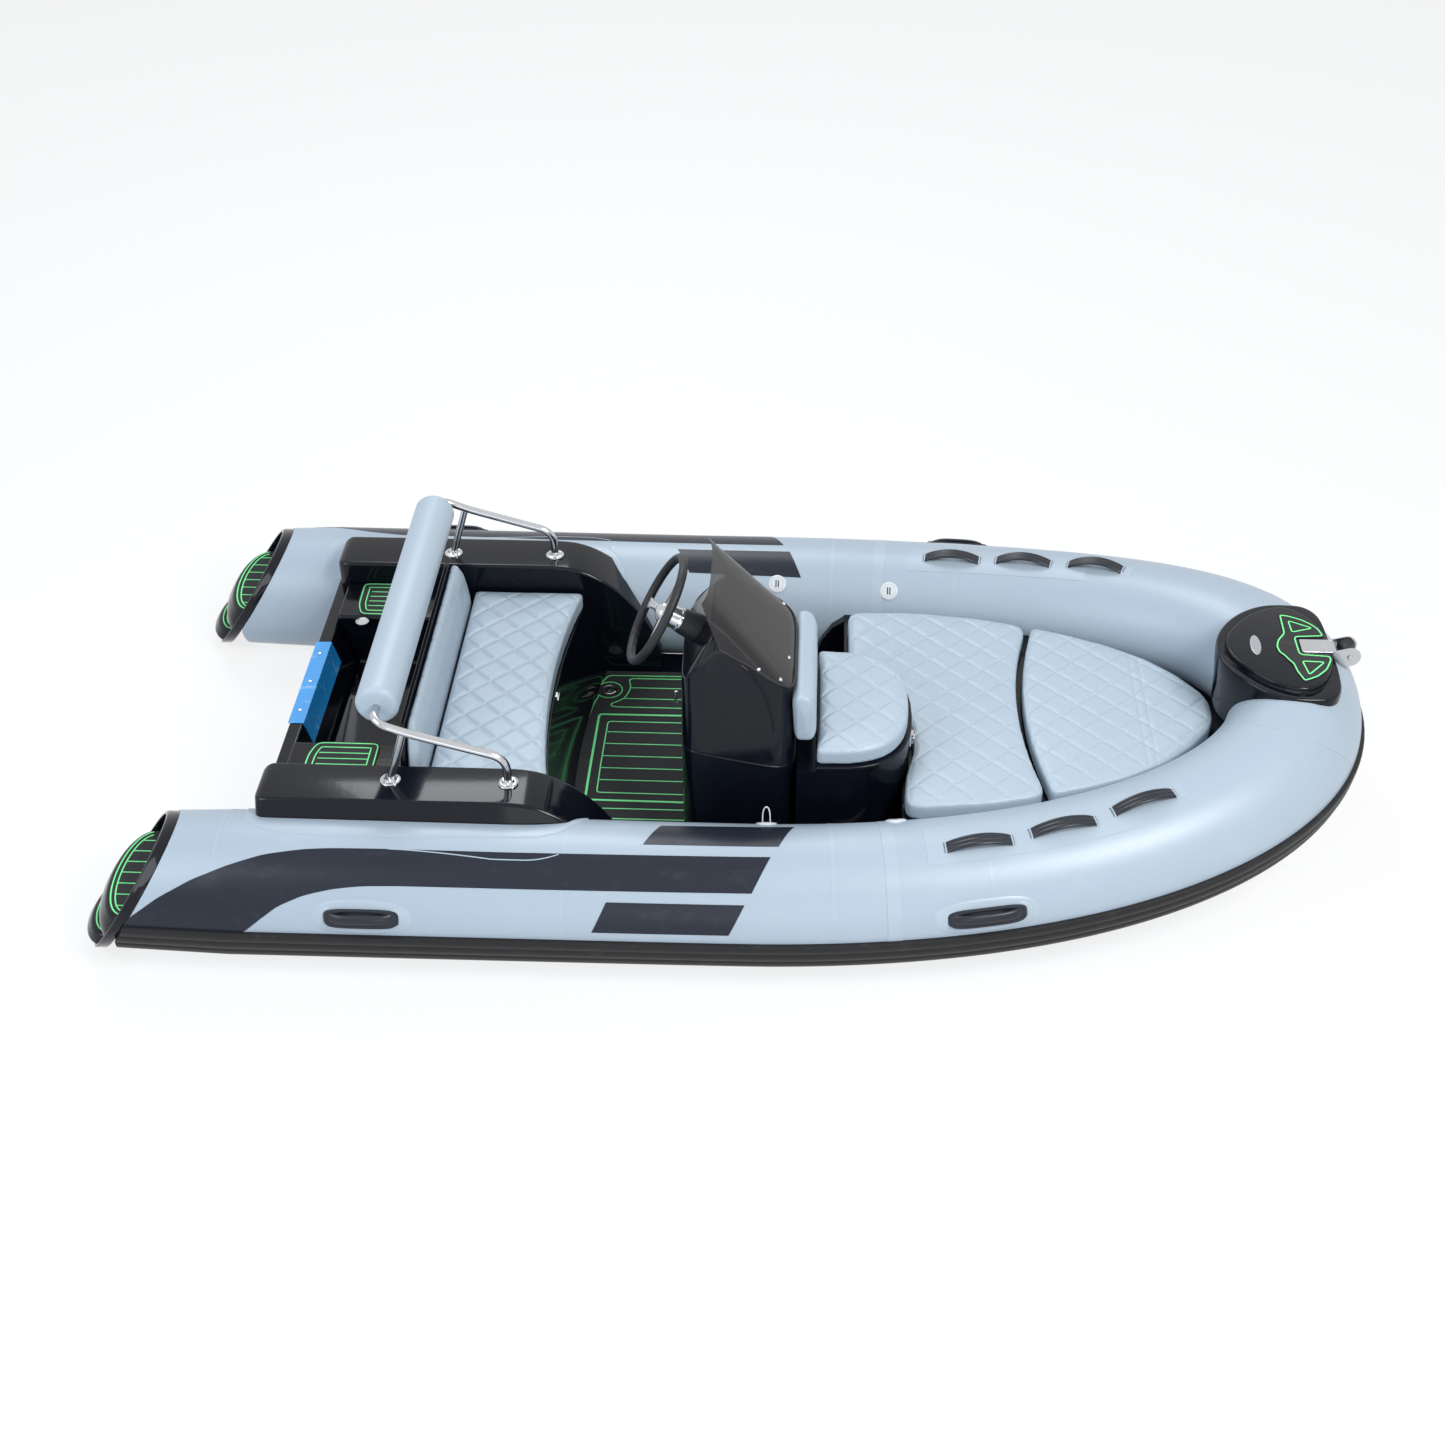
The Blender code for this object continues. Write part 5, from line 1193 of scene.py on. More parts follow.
# %% Bench, seat and bow cushions
TIP_X = (2.45, 2.83)
pad_on("bench_cushion", "bench_pad", 0.022, 0.009, 0.0005, 0.008, 0.005, "bench_top", (0.60, 0.0))
pad_on("seat_cushion", "seat_pad", 0.020, 0.012, 0.0020, 0.006, 0.006, "seat_top", (1.76, -0.19))
pad_on("bow_cushion_aft", "bow_pad_aft", 0.076, 0.012, 0.0, 0.0084, 0.005, "boat", (2.0, 0.0))
pad_on("bow_cushion_fwd", "bow_pad_fwd", 0.026, 0.011, -0.001, 0.0084, 0.005, "boat", (2.0, 0.0), 0.036, (2.652, 2.680))

# %% [markdown]
# The bench bolster and the seat's backrest stand up, so their solids' side profiles are carried across
# with rounded ends, and swell in the same way. Vertical sewn lines divide the bolster.

# %% Bolster and backrest
def side_profile(node, y_at):
    """The corners of a solid's cut across Y, in order round their middle, as (x, z)."""
    place = np.array([v.co for v in nodes[node].data.vertices])
    near = place[np.abs(place[:, 1] - y_at) < 0.30]
    pairs = np.unique(np.round(near[:, [0, 2]], 4), axis=0)
    middle = pairs.mean(axis=0)
    return pairs[np.argsort(np.arctan2(pairs[:, 1] - middle[1], pairs[:, 0] - middle[0]))]


def upright_pad(node, name, half_at, voxel, reach, draw_in, seams, middle_y, soften):
    """A side profile carried across Y; half_at(z share) is the half width, and the ends round off."""
    low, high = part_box(node)
    place = np.array([v.co for v in nodes[node].data.vertices])
    pairs = np.unique(np.round(place[:, [0, 2]], 4), axis=0)
    middle = np.array([(pairs[:, 0].min() + pairs[:, 0].max()) / 2, (low.z + high.z) / 2])
    order = pairs[np.argsort(np.arctan2(pairs[:, 1] - middle[1], (pairs[:, 0] - middle[0]) * 4.0))]
    profile = inset(evened(order, 0.004, soften), draw_in)
    share = np.clip((profile[:, 1] - low.z) / (high.z - low.z), 0.0, 1.0)
    half = half_at(share) - draw_in
    centre = profile.mean(axis=0)
    stations = np.sin(np.linspace(-math.pi / 2, math.pi / 2, 40))
    rings = []
    for s in stations:
        end = 1.0 - np.clip((abs(s) - 0.965) / 0.035, 0.0, 1.0) ** 2 * 0.30
        ring = centre + (profile - centre) * [end, 1.0 - (1.0 - end) * 0.25]
        rings.append(np.column_stack([ring[:, 0], middle_y + s * half, ring[:, 1]]))
    data = puffed([loft(rings)], voxel, reach)
    points, normal = points_of(data), vertex_normals(data)
    for y in seams:
        valley = np.exp(-((points[:, 1] - y) / 0.005) ** 2)
        points -= normal * (0.0028 * valley)[:, None]
    data.vertices.foreach_set("co", points.ravel())
    data.name = name
    thing = finish_piece(name, data, vinyl_plain, "boat", [node], 180.0)
    print(name, len(data.polygons), "faces")


upright_pad("bench_bolster", "bolster_pad", lambda s: 0.512 - 0.087 * s ** 1.6, 0.008, 0.005, 0.0030,
            np.arange(-4, 5) * 0.095, 0.0, 0.010)
upright_pad("seat_backrest", "backrest_pad", lambda s: 0.230 + 0 * s, 0.0065, 0.006, -0.0010, (), -0.190, 0.016)

# %% [markdown]
# ## Stern rail and roll
# One bent stainless tube crosses inside the padded roll and comes down to the boxes on both sides, with
# a strut and screwed flanges. Its corners are quadratic curves, and the tube is a circle carried along.

# %% Stern rail
ROLL_X, ROLL_Z, ROLL_R, ROLL_HALF, RAIL_Y, PIPE_R = 0.370, 0.680, 0.064, 0.531, 0.600, 0.0125
FLANGE_X, STRUT_X, STRUT_DROP, KNEE_DROP, BEND = (0.400, 0.746), 0.055, 0.0355, 0.122, 0.048


def bent(corners, radius, steps=10, straight=6):
    """Straight runs through the corners, with each inner corner a quadratic curve."""
    corners = [np.array(c, float) for c in corners]
    path, last = [], corners[0]
    for before, corner, after in zip(corners, corners[1:], corners[2:]):
        start = corner + (before - corner) / np.linalg.norm(before - corner) * radius
        end = corner + (after - corner) / np.linalg.norm(after - corner) * radius
        path += [last + (start - last) * t for t in np.linspace(0, 1, straight, endpoint=False)]
        path += [start * (1 - t) ** 2 + corner * 2 * t * (1 - t) + end * t * t for t in np.linspace(0, 1, steps, endpoint=False)]
        last = end
    path += [last + (corners[-1] - last) * t for t in np.linspace(0, 1, straight)]
    return np.array(path)


corners = []
for side in (1, -1):
    run = [(FLANGE_X[1], side * RAIL_Y, BOX_TOP), (FLANGE_X[1], side * RAIL_Y, ROLL_Z - KNEE_DROP),
           (FLANGE_X[0] + STRUT_X, side * RAIL_Y, ROLL_Z - STRUT_DROP), (ROLL_X, side * RAIL_Y, ROLL_Z)]
    corners += run if side == 1 else run[::-1]
metal = [bar(bent(corners, BEND), PIPE_R, 24)]
screws = []
for side in (1, -1):
    foot = np.array([FLANGE_X[0], side * RAIL_Y, BOX_TOP])
    head = np.array([FLANGE_X[0] + STRUT_X, side * RAIL_Y, ROLL_Z - STRUT_DROP])
    metal.append(bar(np.linspace(foot, head, 8), PIPE_R * 0.92, 20))
    for x in FLANGE_X:
        base = (x, side * RAIL_Y, BOX_TOP)
        metal.append(turned([(0.0002, 0.0), (0.0002, 0.030), (0.0030, 0.030), (0.0048, 0.028), (0.0055, 0.020),
                             (0.012, 0.0155), (0.014, 0.0150), (0.014, 0.0)], base, (0, 0, 1), 40))
        for turn in np.radians([45, 135, 225, 315]):
            spot = (x + 0.0225 * math.cos(turn), side * RAIL_Y + 0.0225 * math.sin(turn), BOX_TOP + 0.0045)
            screws.append(turned([(0.0, 0.0042), (0.0014, 0.0038), (0.0020, 0.0022), (0.0020, 0.0)], spot, (0, 0, 1), 14))
add_piece("stern_rail_tube", metal, stainless, stands_for=["stern_rail"])
add_piece("rail_screws", screws, steel_plain)

# %% Padded roll
def roll_profile():
    """Radius along the roll: full in the middle, drawn in 1 mm at the sewn rings, round ends."""
    y = np.concatenate([[-ROLL_HALF], -ROLL_HALF + 0.018 * (1 - np.cos(np.linspace(0, math.pi / 2, 8))),
                        np.linspace(-ROLL_HALF + 0.03, ROLL_HALF - 0.03, 90)])
    y = np.unique(np.concatenate([y, -y]))
    end = np.clip((ROLL_HALF - np.abs(y)) / 0.018, 0.0, 1.0)
    radius = ROLL_R - 0.018 * (1 - np.sqrt(1 - (1 - end) ** 2))
    for seam in (-ROLL_HALF + 0.030, ROLL_HALF - 0.030):
        radius -= 0.0016 * np.exp(-((y - seam) / 0.004) ** 2)
    return [(y[0], PIPE_R + 0.0004)] + list(zip(y, radius)) + [(y[-1], PIPE_R + 0.0004)]


roll = add_piece("rail_pad", [turned(roll_profile(), (ROLL_X, 0.0, ROLL_Z), (0, 1, 0), 64)], vinyl_plain,
                 stands_for=["rail_roll"], sharp=60.0)
print("stern rail and roll")

# %% [markdown]
# ## Console
# A glossy moulding with softly squared plan sections. A superellipse gives each section; the upper edge
# follows the dash up to a peak and down the cowl while the sides lean in, and the top closes over a
# ridge under the screen.

# %% Console surface
CONSOLE_Y, CONSOLE_HALF, CONSOLE_AFT, CONSOLE_FWD = -0.190, 0.270, 1.236, 1.583
SHOULDER, LEAN, DASH_Z, PEAK_X, PEAK_Z = 0.450, 0.2286, 0.675, 1.349, 0.803
COWL_FWD, COWL_Z, RIDGE_X, RIDGE_Z = 1.572, 0.655, 1.345, 0.835


def squared(aft, fwd, half, power, count):
    """|x| to the power plus |y| to the power is one, stretched to the box."""
    angle = 2 * math.pi * (np.arange(count) + 0.5) / count
    c, s = np.cos(angle), np.sin(angle)
    return np.column_stack([(aft + fwd) / 2 + (fwd - aft) / 2 * np.sign(c) * np.abs(c) ** (2 / power),
                            CONSOLE_Y + half * np.sign(s) * np.abs(s) ** (2 / power)])


def rim(count):
    """The upper edge: height along the dash and the cowl, drawn in as it rises."""
    flat = squared(CONSOLE_AFT, COWL_FWD, CONSOLE_HALF, 5.5, count)
    up_dash = (flat[:, 0] - CONSOLE_AFT) / (PEAK_X - CONSOLE_AFT)
    down_cowl = np.clip((flat[:, 0] - PEAK_X) / (COWL_FWD - PEAK_X), 0.0, 1.0)
    z = np.where(flat[:, 0] <= PEAK_X, DASH_Z + (PEAK_Z - DASH_Z) * up_dash, PEAK_Z + (COWL_Z - PEAK_Z) * down_cowl ** 1.25)
    draw = 1.0 - LEAN * (z - SHOULDER) / CONSOLE_HALF
    return np.column_stack([flat[:, 0], CONSOLE_Y + (flat[:, 1] - CONSOLE_Y) * draw, z])


COUNT = 180
lower = squared(CONSOLE_AFT, CONSOLE_FWD, CONSOLE_HALF, 6.5, COUNT)
shoulder = at_height(lower, np.interp(lower[:, 0], (1.236, 1.300, 1.431, 1.583), (0.477, 0.477, 0.449, 0.420)))
upper = rim(COUNT)
ridge = np.array([RIDGE_X, CONSOLE_Y, RIDGE_Z]) + (upper - [RIDGE_X, CONSOLE_Y, RIDGE_Z]) * [0.22, 0.72, 0.20]
rings = [at_height(lower, SOLE_Z + FIT), at_height(lower, 0.25), shoulder - [0.0, 0.0, 0.008]]
for share in (0.0, 0.02, 0.05):
    rings.append(shoulder + (upper - shoulder) * share)
rings += [shoulder + (upper - shoulder) * share for share in np.linspace(0.12, 0.955, 8)]
for share in np.linspace(0.0, 1.0, 7):
    low_side = shoulder + (upper - shoulder) * (0.965 + 0.035 * min(1.0, share * 1.4))
    top_side = upper + (ridge - upper) * 0.10 * share ** 2
    rings.append(low_side * (1 - share) + top_side * share)
rings += [upper + (ridge - upper) * share for share in np.linspace(0.16, 1.0, 10)]
add_piece("console_moulding", [loft(rings)], gelcoat, stands_for=["console"], sharp=50.0)

# %% [markdown]
# The side of the console is pressed with an arch and a long swage. They show as bright rounded edges, so
# each is a slim half-round bead laid on the surface through a few measured points, on both sides.

# %% Console beads
ARCH = np.array([(1.2452, -0.3629, 0.6651), (1.2617, -0.3807, 0.7046), (1.2854, -0.3786, 0.7364), (1.3179, -0.3803, 0.7680),
                 (1.3466, -0.3740, 0.7860), (1.3932, -0.3809, 0.7699), (1.4458, -0.3953, 0.7316), (1.4902, -0.4106, 0.6607),
                 (1.5085, -0.4239, 0.5977), (1.5152, -0.4359, 0.5439)])
near_shoulder = shoulder[shoulder[:, 1] < CONSOLE_Y - 0.215]
SWAGE = near_shoulder[np.argsort(near_shoulder[:, 0])]


def on_other_side(points):
    return points * [1, -1, 1] + [0, 2 * CONSOLE_Y, 0]


beads = []
for line, radius in ((ARCH, 0.0042), (SWAGE, 0.0040)):
    for points in (line, on_other_side(line)):
        path = evened(points, 0.006, 0.040, looped=False)
        taper = np.sin(np.linspace(0.02, math.pi - 0.02, len(path))) ** 0.25
        beads.append(bar(path, radius * taper, 12))
add_piece("console_beads", beads, gelcoat)
print("console and", len(beads), "beads")

# %% [markdown]
# ## Windscreen
# A sheet of smoked acrylic wraps round the cowl. Its foot follows the console's upper edge from one side
# round the front to the other, its top is a shallower curve higher up, and the sheet is ruled between
# them. Small domed screws hold its foot.

# %% Windscreen
SCREEN_T, SCREEN_TOP_Z, SCREEN_TOP_X, SCREEN_TOP_HALF, SCREEN_FAN = 0.004, 0.950, 1.322, 0.176, math.radians(48.0)
edge = rim(1440)
edge = edge[edge[:, 0] >= PEAK_X + 0.004]
bearing = np.arctan2(edge[:, 1] - CONSOLE_Y, edge[:, 0] - PEAK_X)
edge = edge[np.argsort(bearing)]
foot = edge[np.round(np.linspace(0, len(edge) - 1, 60)).astype(int)]
swing = np.arctan2(foot[:, 1] - CONSOLE_Y, foot[:, 0] - PEAK_X) / SCREEN_FAN
share = swing / (1 + swing ** 4) ** 0.25
head = np.column_stack([SCREEN_TOP_X - 0.020 * share ** 4, CONSOLE_Y + SCREEN_TOP_HALF * share, np.full(60, SCREEN_TOP_Z)])
outward = np.cross(np.gradient(foot, axis=0), head - foot)
outward /= np.linalg.norm(outward, axis=1)[:, None]
rise = np.linspace(0.0, 1.0, 24)[None, :, None]
sheet_in = foot[:, None] + (head - foot)[:, None] * rise + outward[:, None] * 0.0004
round_edge = np.sqrt(np.clip(1 - (1 - np.clip(np.minimum(rise, 1 - rise) / 0.01, 0, 1)) ** 2, 0.2, 1))
sheet_out = sheet_in + outward[:, None] * SCREEN_T * round_edge
add_piece("smoked_screen", [slab(sheet_out, sheet_in)], smoked, stands_for=["windscreen"], sharp=50.0)
trim, heads = [], []
for k in (3, 14, 29, 45, 56):
    spot = foot[k] + (head[k] - foot[k]) * 0.085 + outward[k] * (SCREEN_T + 0.0003)
    heads.append(turned([(-0.002, 0.0065), (0.0012, 0.0065), (0.0035, 0.0050), (0.0045, 0.0022), (0.0046, 0.0)], spot, outward[k], 18))
add_piece("screen_screws", heads, stainless)
base = evened(foot + outward * 0.0032 + [0, 0, 0.001], 0.008, 0.0, looped=False)
add_piece("screen_gasket", [bar(base, 0.0042, 10)], rim_foam)
print("windscreen")

# %% [markdown]
# ## Steering wheel
# The rim is a padded ring, the three spokes are broad polished plates that taper out to it, and the hub
# is a polished drum before a black boss with a bright ring. Rim, spokes and hub turn; the boss stays.

# %% Wheel
WHEEL, WHEEL_R, RIM_R, TILT = np.array([1.160, CONSOLE_Y, 0.806]), 0.167, 0.0135, math.radians(29.0)
axle = np.array([-math.cos(TILT), 0.0, math.sin(TILT)])
across, upright = np.array([0.0, 1.0, 0.0]), np.array([math.sin(TILT), 0.0, math.cos(TILT)])
turn = np.linspace(0.0, 2 * math.pi, 120, endpoint=False)[:, None]
radial = np.cos(turn) * across + np.sin(turn) * upright
small = np.linspace(0.0, 2 * math.pi, 24, endpoint=False)[None, :, None]
grip = RIM_R - 0.0011 * (0.5 + 0.5 * np.cos(turn * 24))[:, None] * np.clip(-np.cos(small), 0.0, 1.0)
ring = WHEEL + radial[:, None] * (WHEEL_R + grip * np.cos(small)) + axle * grip * np.sin(small)
add_piece("wheel_rim", [loft(ring, looped=True)], rim_foam, body="steering_wheel",
          stands_for=["steering_rim"])


def spoke(direction, sideways):
    """A plate from the hub to the rim: width and depth fall with distance, dished towards the dash."""
    share = np.linspace(0.0, 1.0, 24)
    reach = 0.018 + (WHEEL_R - 0.010 - 0.018) * share
    half = 0.021 - 0.009 * np.sin(share * math.pi) ** 0.8 + 0.002 * share ** 6
    height = -0.016 + 0.016 * share ** 1.7
    turn = np.linspace(0.0, 2 * math.pi, 20, endpoint=False)
    wide = np.sign(np.cos(turn)) * np.abs(np.cos(turn)) ** 0.7
    deep = np.sign(np.sin(turn)) * np.abs(np.sin(turn)) ** 0.7 * 0.0030
    return loft(WHEEL + direction * reach[:, None, None] + sideways * (half[:, None] * wide)[..., None]
                + axle * (height[:, None] + deep)[..., None])


metal = []
for k in range(3):
    at = math.radians(90.0 + 120.0 * k)
    metal.append(spoke(math.cos(at) * across + math.sin(at) * upright, -math.sin(at) * across + math.cos(at) * upright))
metal.append(turned([(-0.036, 0.0), (-0.036, 0.028), (-0.034, 0.030), (-0.012, 0.030), (-0.008, 0.027), (-0.004, 0.020),
                     (0.0005, 0.017), (0.003, 0.010), (0.004, 0.0)], WHEEL, axle, 48))
add_piece("wheel_hub", metal, stainless, body="steering_wheel", stands_for=["steering_hub"])
boss_back = 0.036 + 0.0003
slope = (PEAK_Z - DASH_Z) / (PEAK_X - CONSOLE_AFT)
into_dash = (WHEEL[2] - DASH_Z - slope * (WHEEL[0] - CONSOLE_AFT)) / (slope * math.cos(TILT) + math.sin(TILT)) + 0.02
boot_from = boss_back + 0.038
add_piece("helm_boss_moulding", [turned([(-into_dash, 0.0), (-into_dash, 0.044), (-into_dash + 0.034, 0.044), (-boot_from - 0.010, 0.039),
                                         (-boot_from, 0.036), (-boot_from, 0.0)], WHEEL, axle, 48)],
          rim_foam, stands_for=["helm_boss"])
add_piece("helm_sleeve", [turned([(-boot_from - 0.004, 0.0), (-boot_from - 0.004, 0.037), (-boot_from + 0.003, 0.037), (-boot_from + 0.006, 0.034),
                                  (-boss_back - 0.004, 0.0335), (-boss_back - 0.001, 0.031), (-boss_back, 0.0)], WHEEL, axle, 48)],
          stainless)
print("steering wheel")

# %% [markdown]
# ## Bow step and anchor roller
# A moulded saddle sits over the bow of the collar, with a raised deck of foam that has green lines. Its
# levels are smooth closed curves through a few measured points, drawn in by shares between levels. The
# oval in its middle is left as a plain bright plate.

# %% Bow step
STEP_Z = TUBE_Z + SHEER_RISE + BOW_R + 0.010
STEP_EDGE = ((-0.229, 0.000), (-0.217, 0.060), (-0.177, 0.122), (-0.122, 0.178), (-0.062, 0.208), (-0.012, 0.210), (0.033, 0.176),
             (0.066, 0.115), (0.083, 0.050), (0.088, 0.000))
SKIRT_EDGE = ((-0.254, 0.000), (-0.245, 0.070), (-0.207, 0.143), (-0.150, 0.203), (-0.082, 0.240), (-0.012, 0.248), (0.048, 0.238),
              (0.084, 0.190), (0.094, 0.100), (0.094, 0.000))


def step_ring(edge, z, share=1.0, count=128):
    """Both halves of an outline as one smooth closed curve, drawn in towards its middle."""
    half = np.array(edge)
    whole = np.vstack([half, (half * [1, -1])[-2:0:-1]])
    curve = smooth_through(whole, count)
    middle = edge[4][0]
    return np.column_stack([BOW_X + middle + (curve[:, 0] - middle) * share, curve[:, 1] * share, np.full(count, z)])


SKIRT_TOP = STEP_Z - 0.016
rings = [step_ring(SKIRT_EDGE, STEP_Z - 0.220, 0.93), step_ring(SKIRT_EDGE, STEP_Z - 0.134, 0.955),
         step_ring(SKIRT_EDGE, STEP_Z - 0.070, 1.0), step_ring(SKIRT_EDGE, SKIRT_TOP - 0.016, 1.012)]
for turn in np.linspace(0.0, math.pi / 2, 6):
    rings.append(step_ring(SKIRT_EDGE, SKIRT_TOP - 0.010 * (1 - math.sin(turn)), 1.005 - 0.030 * (1 - math.cos(turn))))
for share, drop in ((1.045, -0.0030), (1.018, -0.0030), (1.005, 0.002)):
    rings.append(step_ring(STEP_EDGE, SKIRT_TOP + drop, share))
for turn in np.linspace(0.0, math.pi / 2, 6):
    rings.append(step_ring(STEP_EDGE, STEP_Z - 0.008 * (1 - math.sin(turn)), 1.0 - 0.035 * (1 - math.cos(turn))))
add_piece("bow_step_moulding", [loft(rings)], gelcoat, stands_for=["bow_step"])

# %% Bow step pad, lines and plate
PAD_LOW, PAD_HIGH = STEP_Z - 0.001, STEP_Z + 0.0035
STEP_PAD = [(3.0766, 0.166), (3.110, 0.158), (3.1443, 0.140), (3.172, 0.115), (3.188, 0.090), (3.198, 0.0500), (3.1082, 0.0430), (3.1085, -0.0430),
            (3.198, -0.0500), (3.198, -0.072), (3.176, -0.1220), (3.142, -0.158), (3.0947, -0.184), (3.0790, -0.130), (3.0760, -0.095),
            (3.0639, -0.0744), (3.0543, -0.0500), (3.0435, -0.0393), (3.0393, -0.0058), (3.0489, 0.0275), (3.0734, 0.0637), (3.0747, 0.1063)]
outline = evened(STEP_PAD, 0.004, 0.010)
add_piece("step_pad", [plate(outline, PAD_LOW, PAD_HIGH, 0.0012)], foam_deck)
lines = [ribbon(evened(inset(outline, 0.004), 0.004, 0.008), 0.0042, PAD_HIGH - 0.001, PAD_HIGH + 0.0006, True)]
for triangle in (((3.1005, 0.1308), (3.1680, 0.0935), (3.102, 0.0700)), ((3.1068, -0.0800), (3.1731, -0.0830), (3.116, -0.1480))):
    lines.append(ribbon(evened(triangle, 0.003, 0.014), 0.0040, PAD_HIGH - 0.001, PAD_HIGH + 0.0006, True))
add_piece("step_lines", lines, green_line)
angle = np.linspace(0.0, 2 * math.pi, 48, endpoint=False)
oval = np.column_stack([2.980 + 0.0165 * np.cos(angle) + 0.0025 * np.sin(angle), 0.002 + 0.050 * np.sin(angle)])
add_piece("step_oval", [plate(oval, STEP_Z - 0.001, STEP_Z + 0.0022, 0.0016)], steel_plain)

# %% Anchor roller
SKIRT_FRONT = BOW_X + SKIRT_EDGE[-1][0]
ROLLER = np.array([SKIRT_FRONT + 0.046, 0.0, STEP_Z - 0.014])
ROLLER_HALF, CHEEK_R, SHEET_T = 0.028, 0.033, 0.004
half = ROLLER_HALF + 0.001 + SHEET_T
plate_outline = evened([(ROLLER[0] - 0.146, -half), (SKIRT_FRONT + 0.004, -half), (SKIRT_FRONT + 0.004, half), (ROLLER[0] - 0.146, half)], 0.003, 0.009)
metal = [plate(plate_outline, STEP_Z + FIT, STEP_Z + FIT + SHEET_T, 0.0012)]
arc_angle = np.radians(np.linspace(100.0, -140.0, 40))
front = SKIRT_FRONT + 0.002
cheek = np.vstack([np.column_stack([ROLLER[0] + CHEEK_R * np.cos(arc_angle), ROLLER[2] + CHEEK_R * np.sin(arc_angle)]),
                   [(front - 0.010, STEP_Z + 0.0006), (front - 0.012, STEP_Z + SHEET_T)]])
for side in (1, -1):
    flats = [np.column_stack([cheek[:, 0], np.full(len(cheek), side * y), cheek[:, 1]]) for y in (half - SHEET_T, half)]
    metal.append(loft(flats))
    metal.append(turned([(0.0, 0.0), (0.0, 0.0085), (0.0035, 0.0085), (0.0055, 0.0060), (0.0055, 0.0)], ROLLER + [0, side * half, 0], (0, side, 0), 20))
for x in (ROLLER[0] - 0.125, ROLLER[0] - 0.085):
    for y in (-0.018, 0.018):
        metal.append(turned([(0.0, 0.0052), (0.0016, 0.0046), (0.0022, 0.0026), (0.0022, 0.0)], (x, y, STEP_Z + SHEET_T), (0, 0, 1), 16))
add_piece("roller_bracket_plate", metal, stainless, stands_for=["bow_roller_bracket"])
dip = np.linspace(-1.0, 1.0, 25)
profile = [(-ROLLER_HALF, 0.0), (-ROLLER_HALF, 0.026)] + [(ROLLER_HALF * 0.98 * d, 0.028 - 0.0075 * (1 - d * d) ** 1.5) for d in dip] + [(ROLLER_HALF, 0.026), (ROLLER_HALF, 0.0)]
add_piece("anchor_roller_wheel", [turned(profile, ROLLER, (0, 1, 0), 48)], rim_foam, body="anchor_roller", stands_for=["bow_roller"])
print("bow step and roller")

# %% [markdown]
# ## Handles
# Every handle is shaped in the skin's own coordinates: along the tube, round it and out from it. The
# grips are moulded bars arched over a dished base on a raised oval of fabric; the strap handles are
# ribbed rubber arches whose feet run under square patches.

# %% Grips and straps
def local(along, angle, s, c, h, side):
    """A point s along, c round and h out from a spot on the collar."""
    return skin(along + np.asarray(s), angle + np.degrees(np.asarray(c) / TUBE_R), h, side)


def oval_patch(along, angle, half_long, half_wide, thickness, side, power=2.6, dish=0.0):
    """Disc coordinates: rings of a superellipse from the middle out; the edge falls to the skin."""
    turn = np.linspace(0.0, 2 * math.pi, 64, endpoint=False)[:, None]
    radius = np.linspace(0.0, 1.0, 12)[None, :]
    s = half_long * radius * np.sign(np.cos(turn)) * np.abs(np.cos(turn)) ** (2 / power)
    c = half_wide * radius * np.sign(np.sin(turn)) * np.abs(np.sin(turn)) ** (2 / power)
    rim_fall = np.sqrt(np.clip(1 - np.clip((radius - 0.88) / 0.12, 0, 1) ** 2, 0, 1))
    height = thickness * rim_fall - dish * np.clip(1 - (radius / 0.7) ** 2, 0, 1)
    outer, inner = local(along, angle, s, c, height, side), local(along, angle, s, c, -0.002, side)
    return slab(outer, inner, looped=True)


def arched_bar(along, angle, half_long, rise, half_wide, half_thick, offset, side):
    """An ellipse carried over an arch: lift = rise * (1 - |share| to the fourth)."""
    share = np.linspace(-1.0, 1.0, 40)[:, None]
    turn = np.linspace(0.0, 2 * math.pi, 20, endpoint=False)[None, :]
    lift = 0.004 + rise * (1 - np.abs(share) ** 4)
    s = half_long * share + 0 * turn
    c = offset + half_wide * (1.0 + 0.35 * share ** 6) * np.cos(turn)
    return loft(local(along, angle, s, c, lift + half_thick * np.sin(turn), side))


GRIPS = (("grip_aft", 0.360, 34.0, 17.0), ("grip_bow", 2.105, 34.0, 17.0))
STRAPS = (("strap_1", 2.110, 100.0, 76.0), ("strap_2", 2.355, 98.0, 79.0), ("strap_3", 2.595, 96.0, 83.0))
patches = []
for name, x, port, stbd in GRIPS:
    for label, side, angle in (("port", 1, port), ("stbd", -1, stbd)):
        along = distance_at(x)
        patches.append(oval_patch(along, angle, 0.143, 0.055, 0.0030, side))
        patches.append(oval_patch(along, angle, 0.130, 0.046, 0.0056, side))
        parts = [oval_patch(along, angle, 0.1120, 0.0300, 0.0150, side, 4.2, 0.0075),
                 arched_bar(along, angle, 0.0960, 0.0220, 0.0130, 0.0075, 0.004, side)]
        add_piece(f"{name}_{label}_moulding", parts, black_rubber, stands_for=[f"{name}_{label}"])
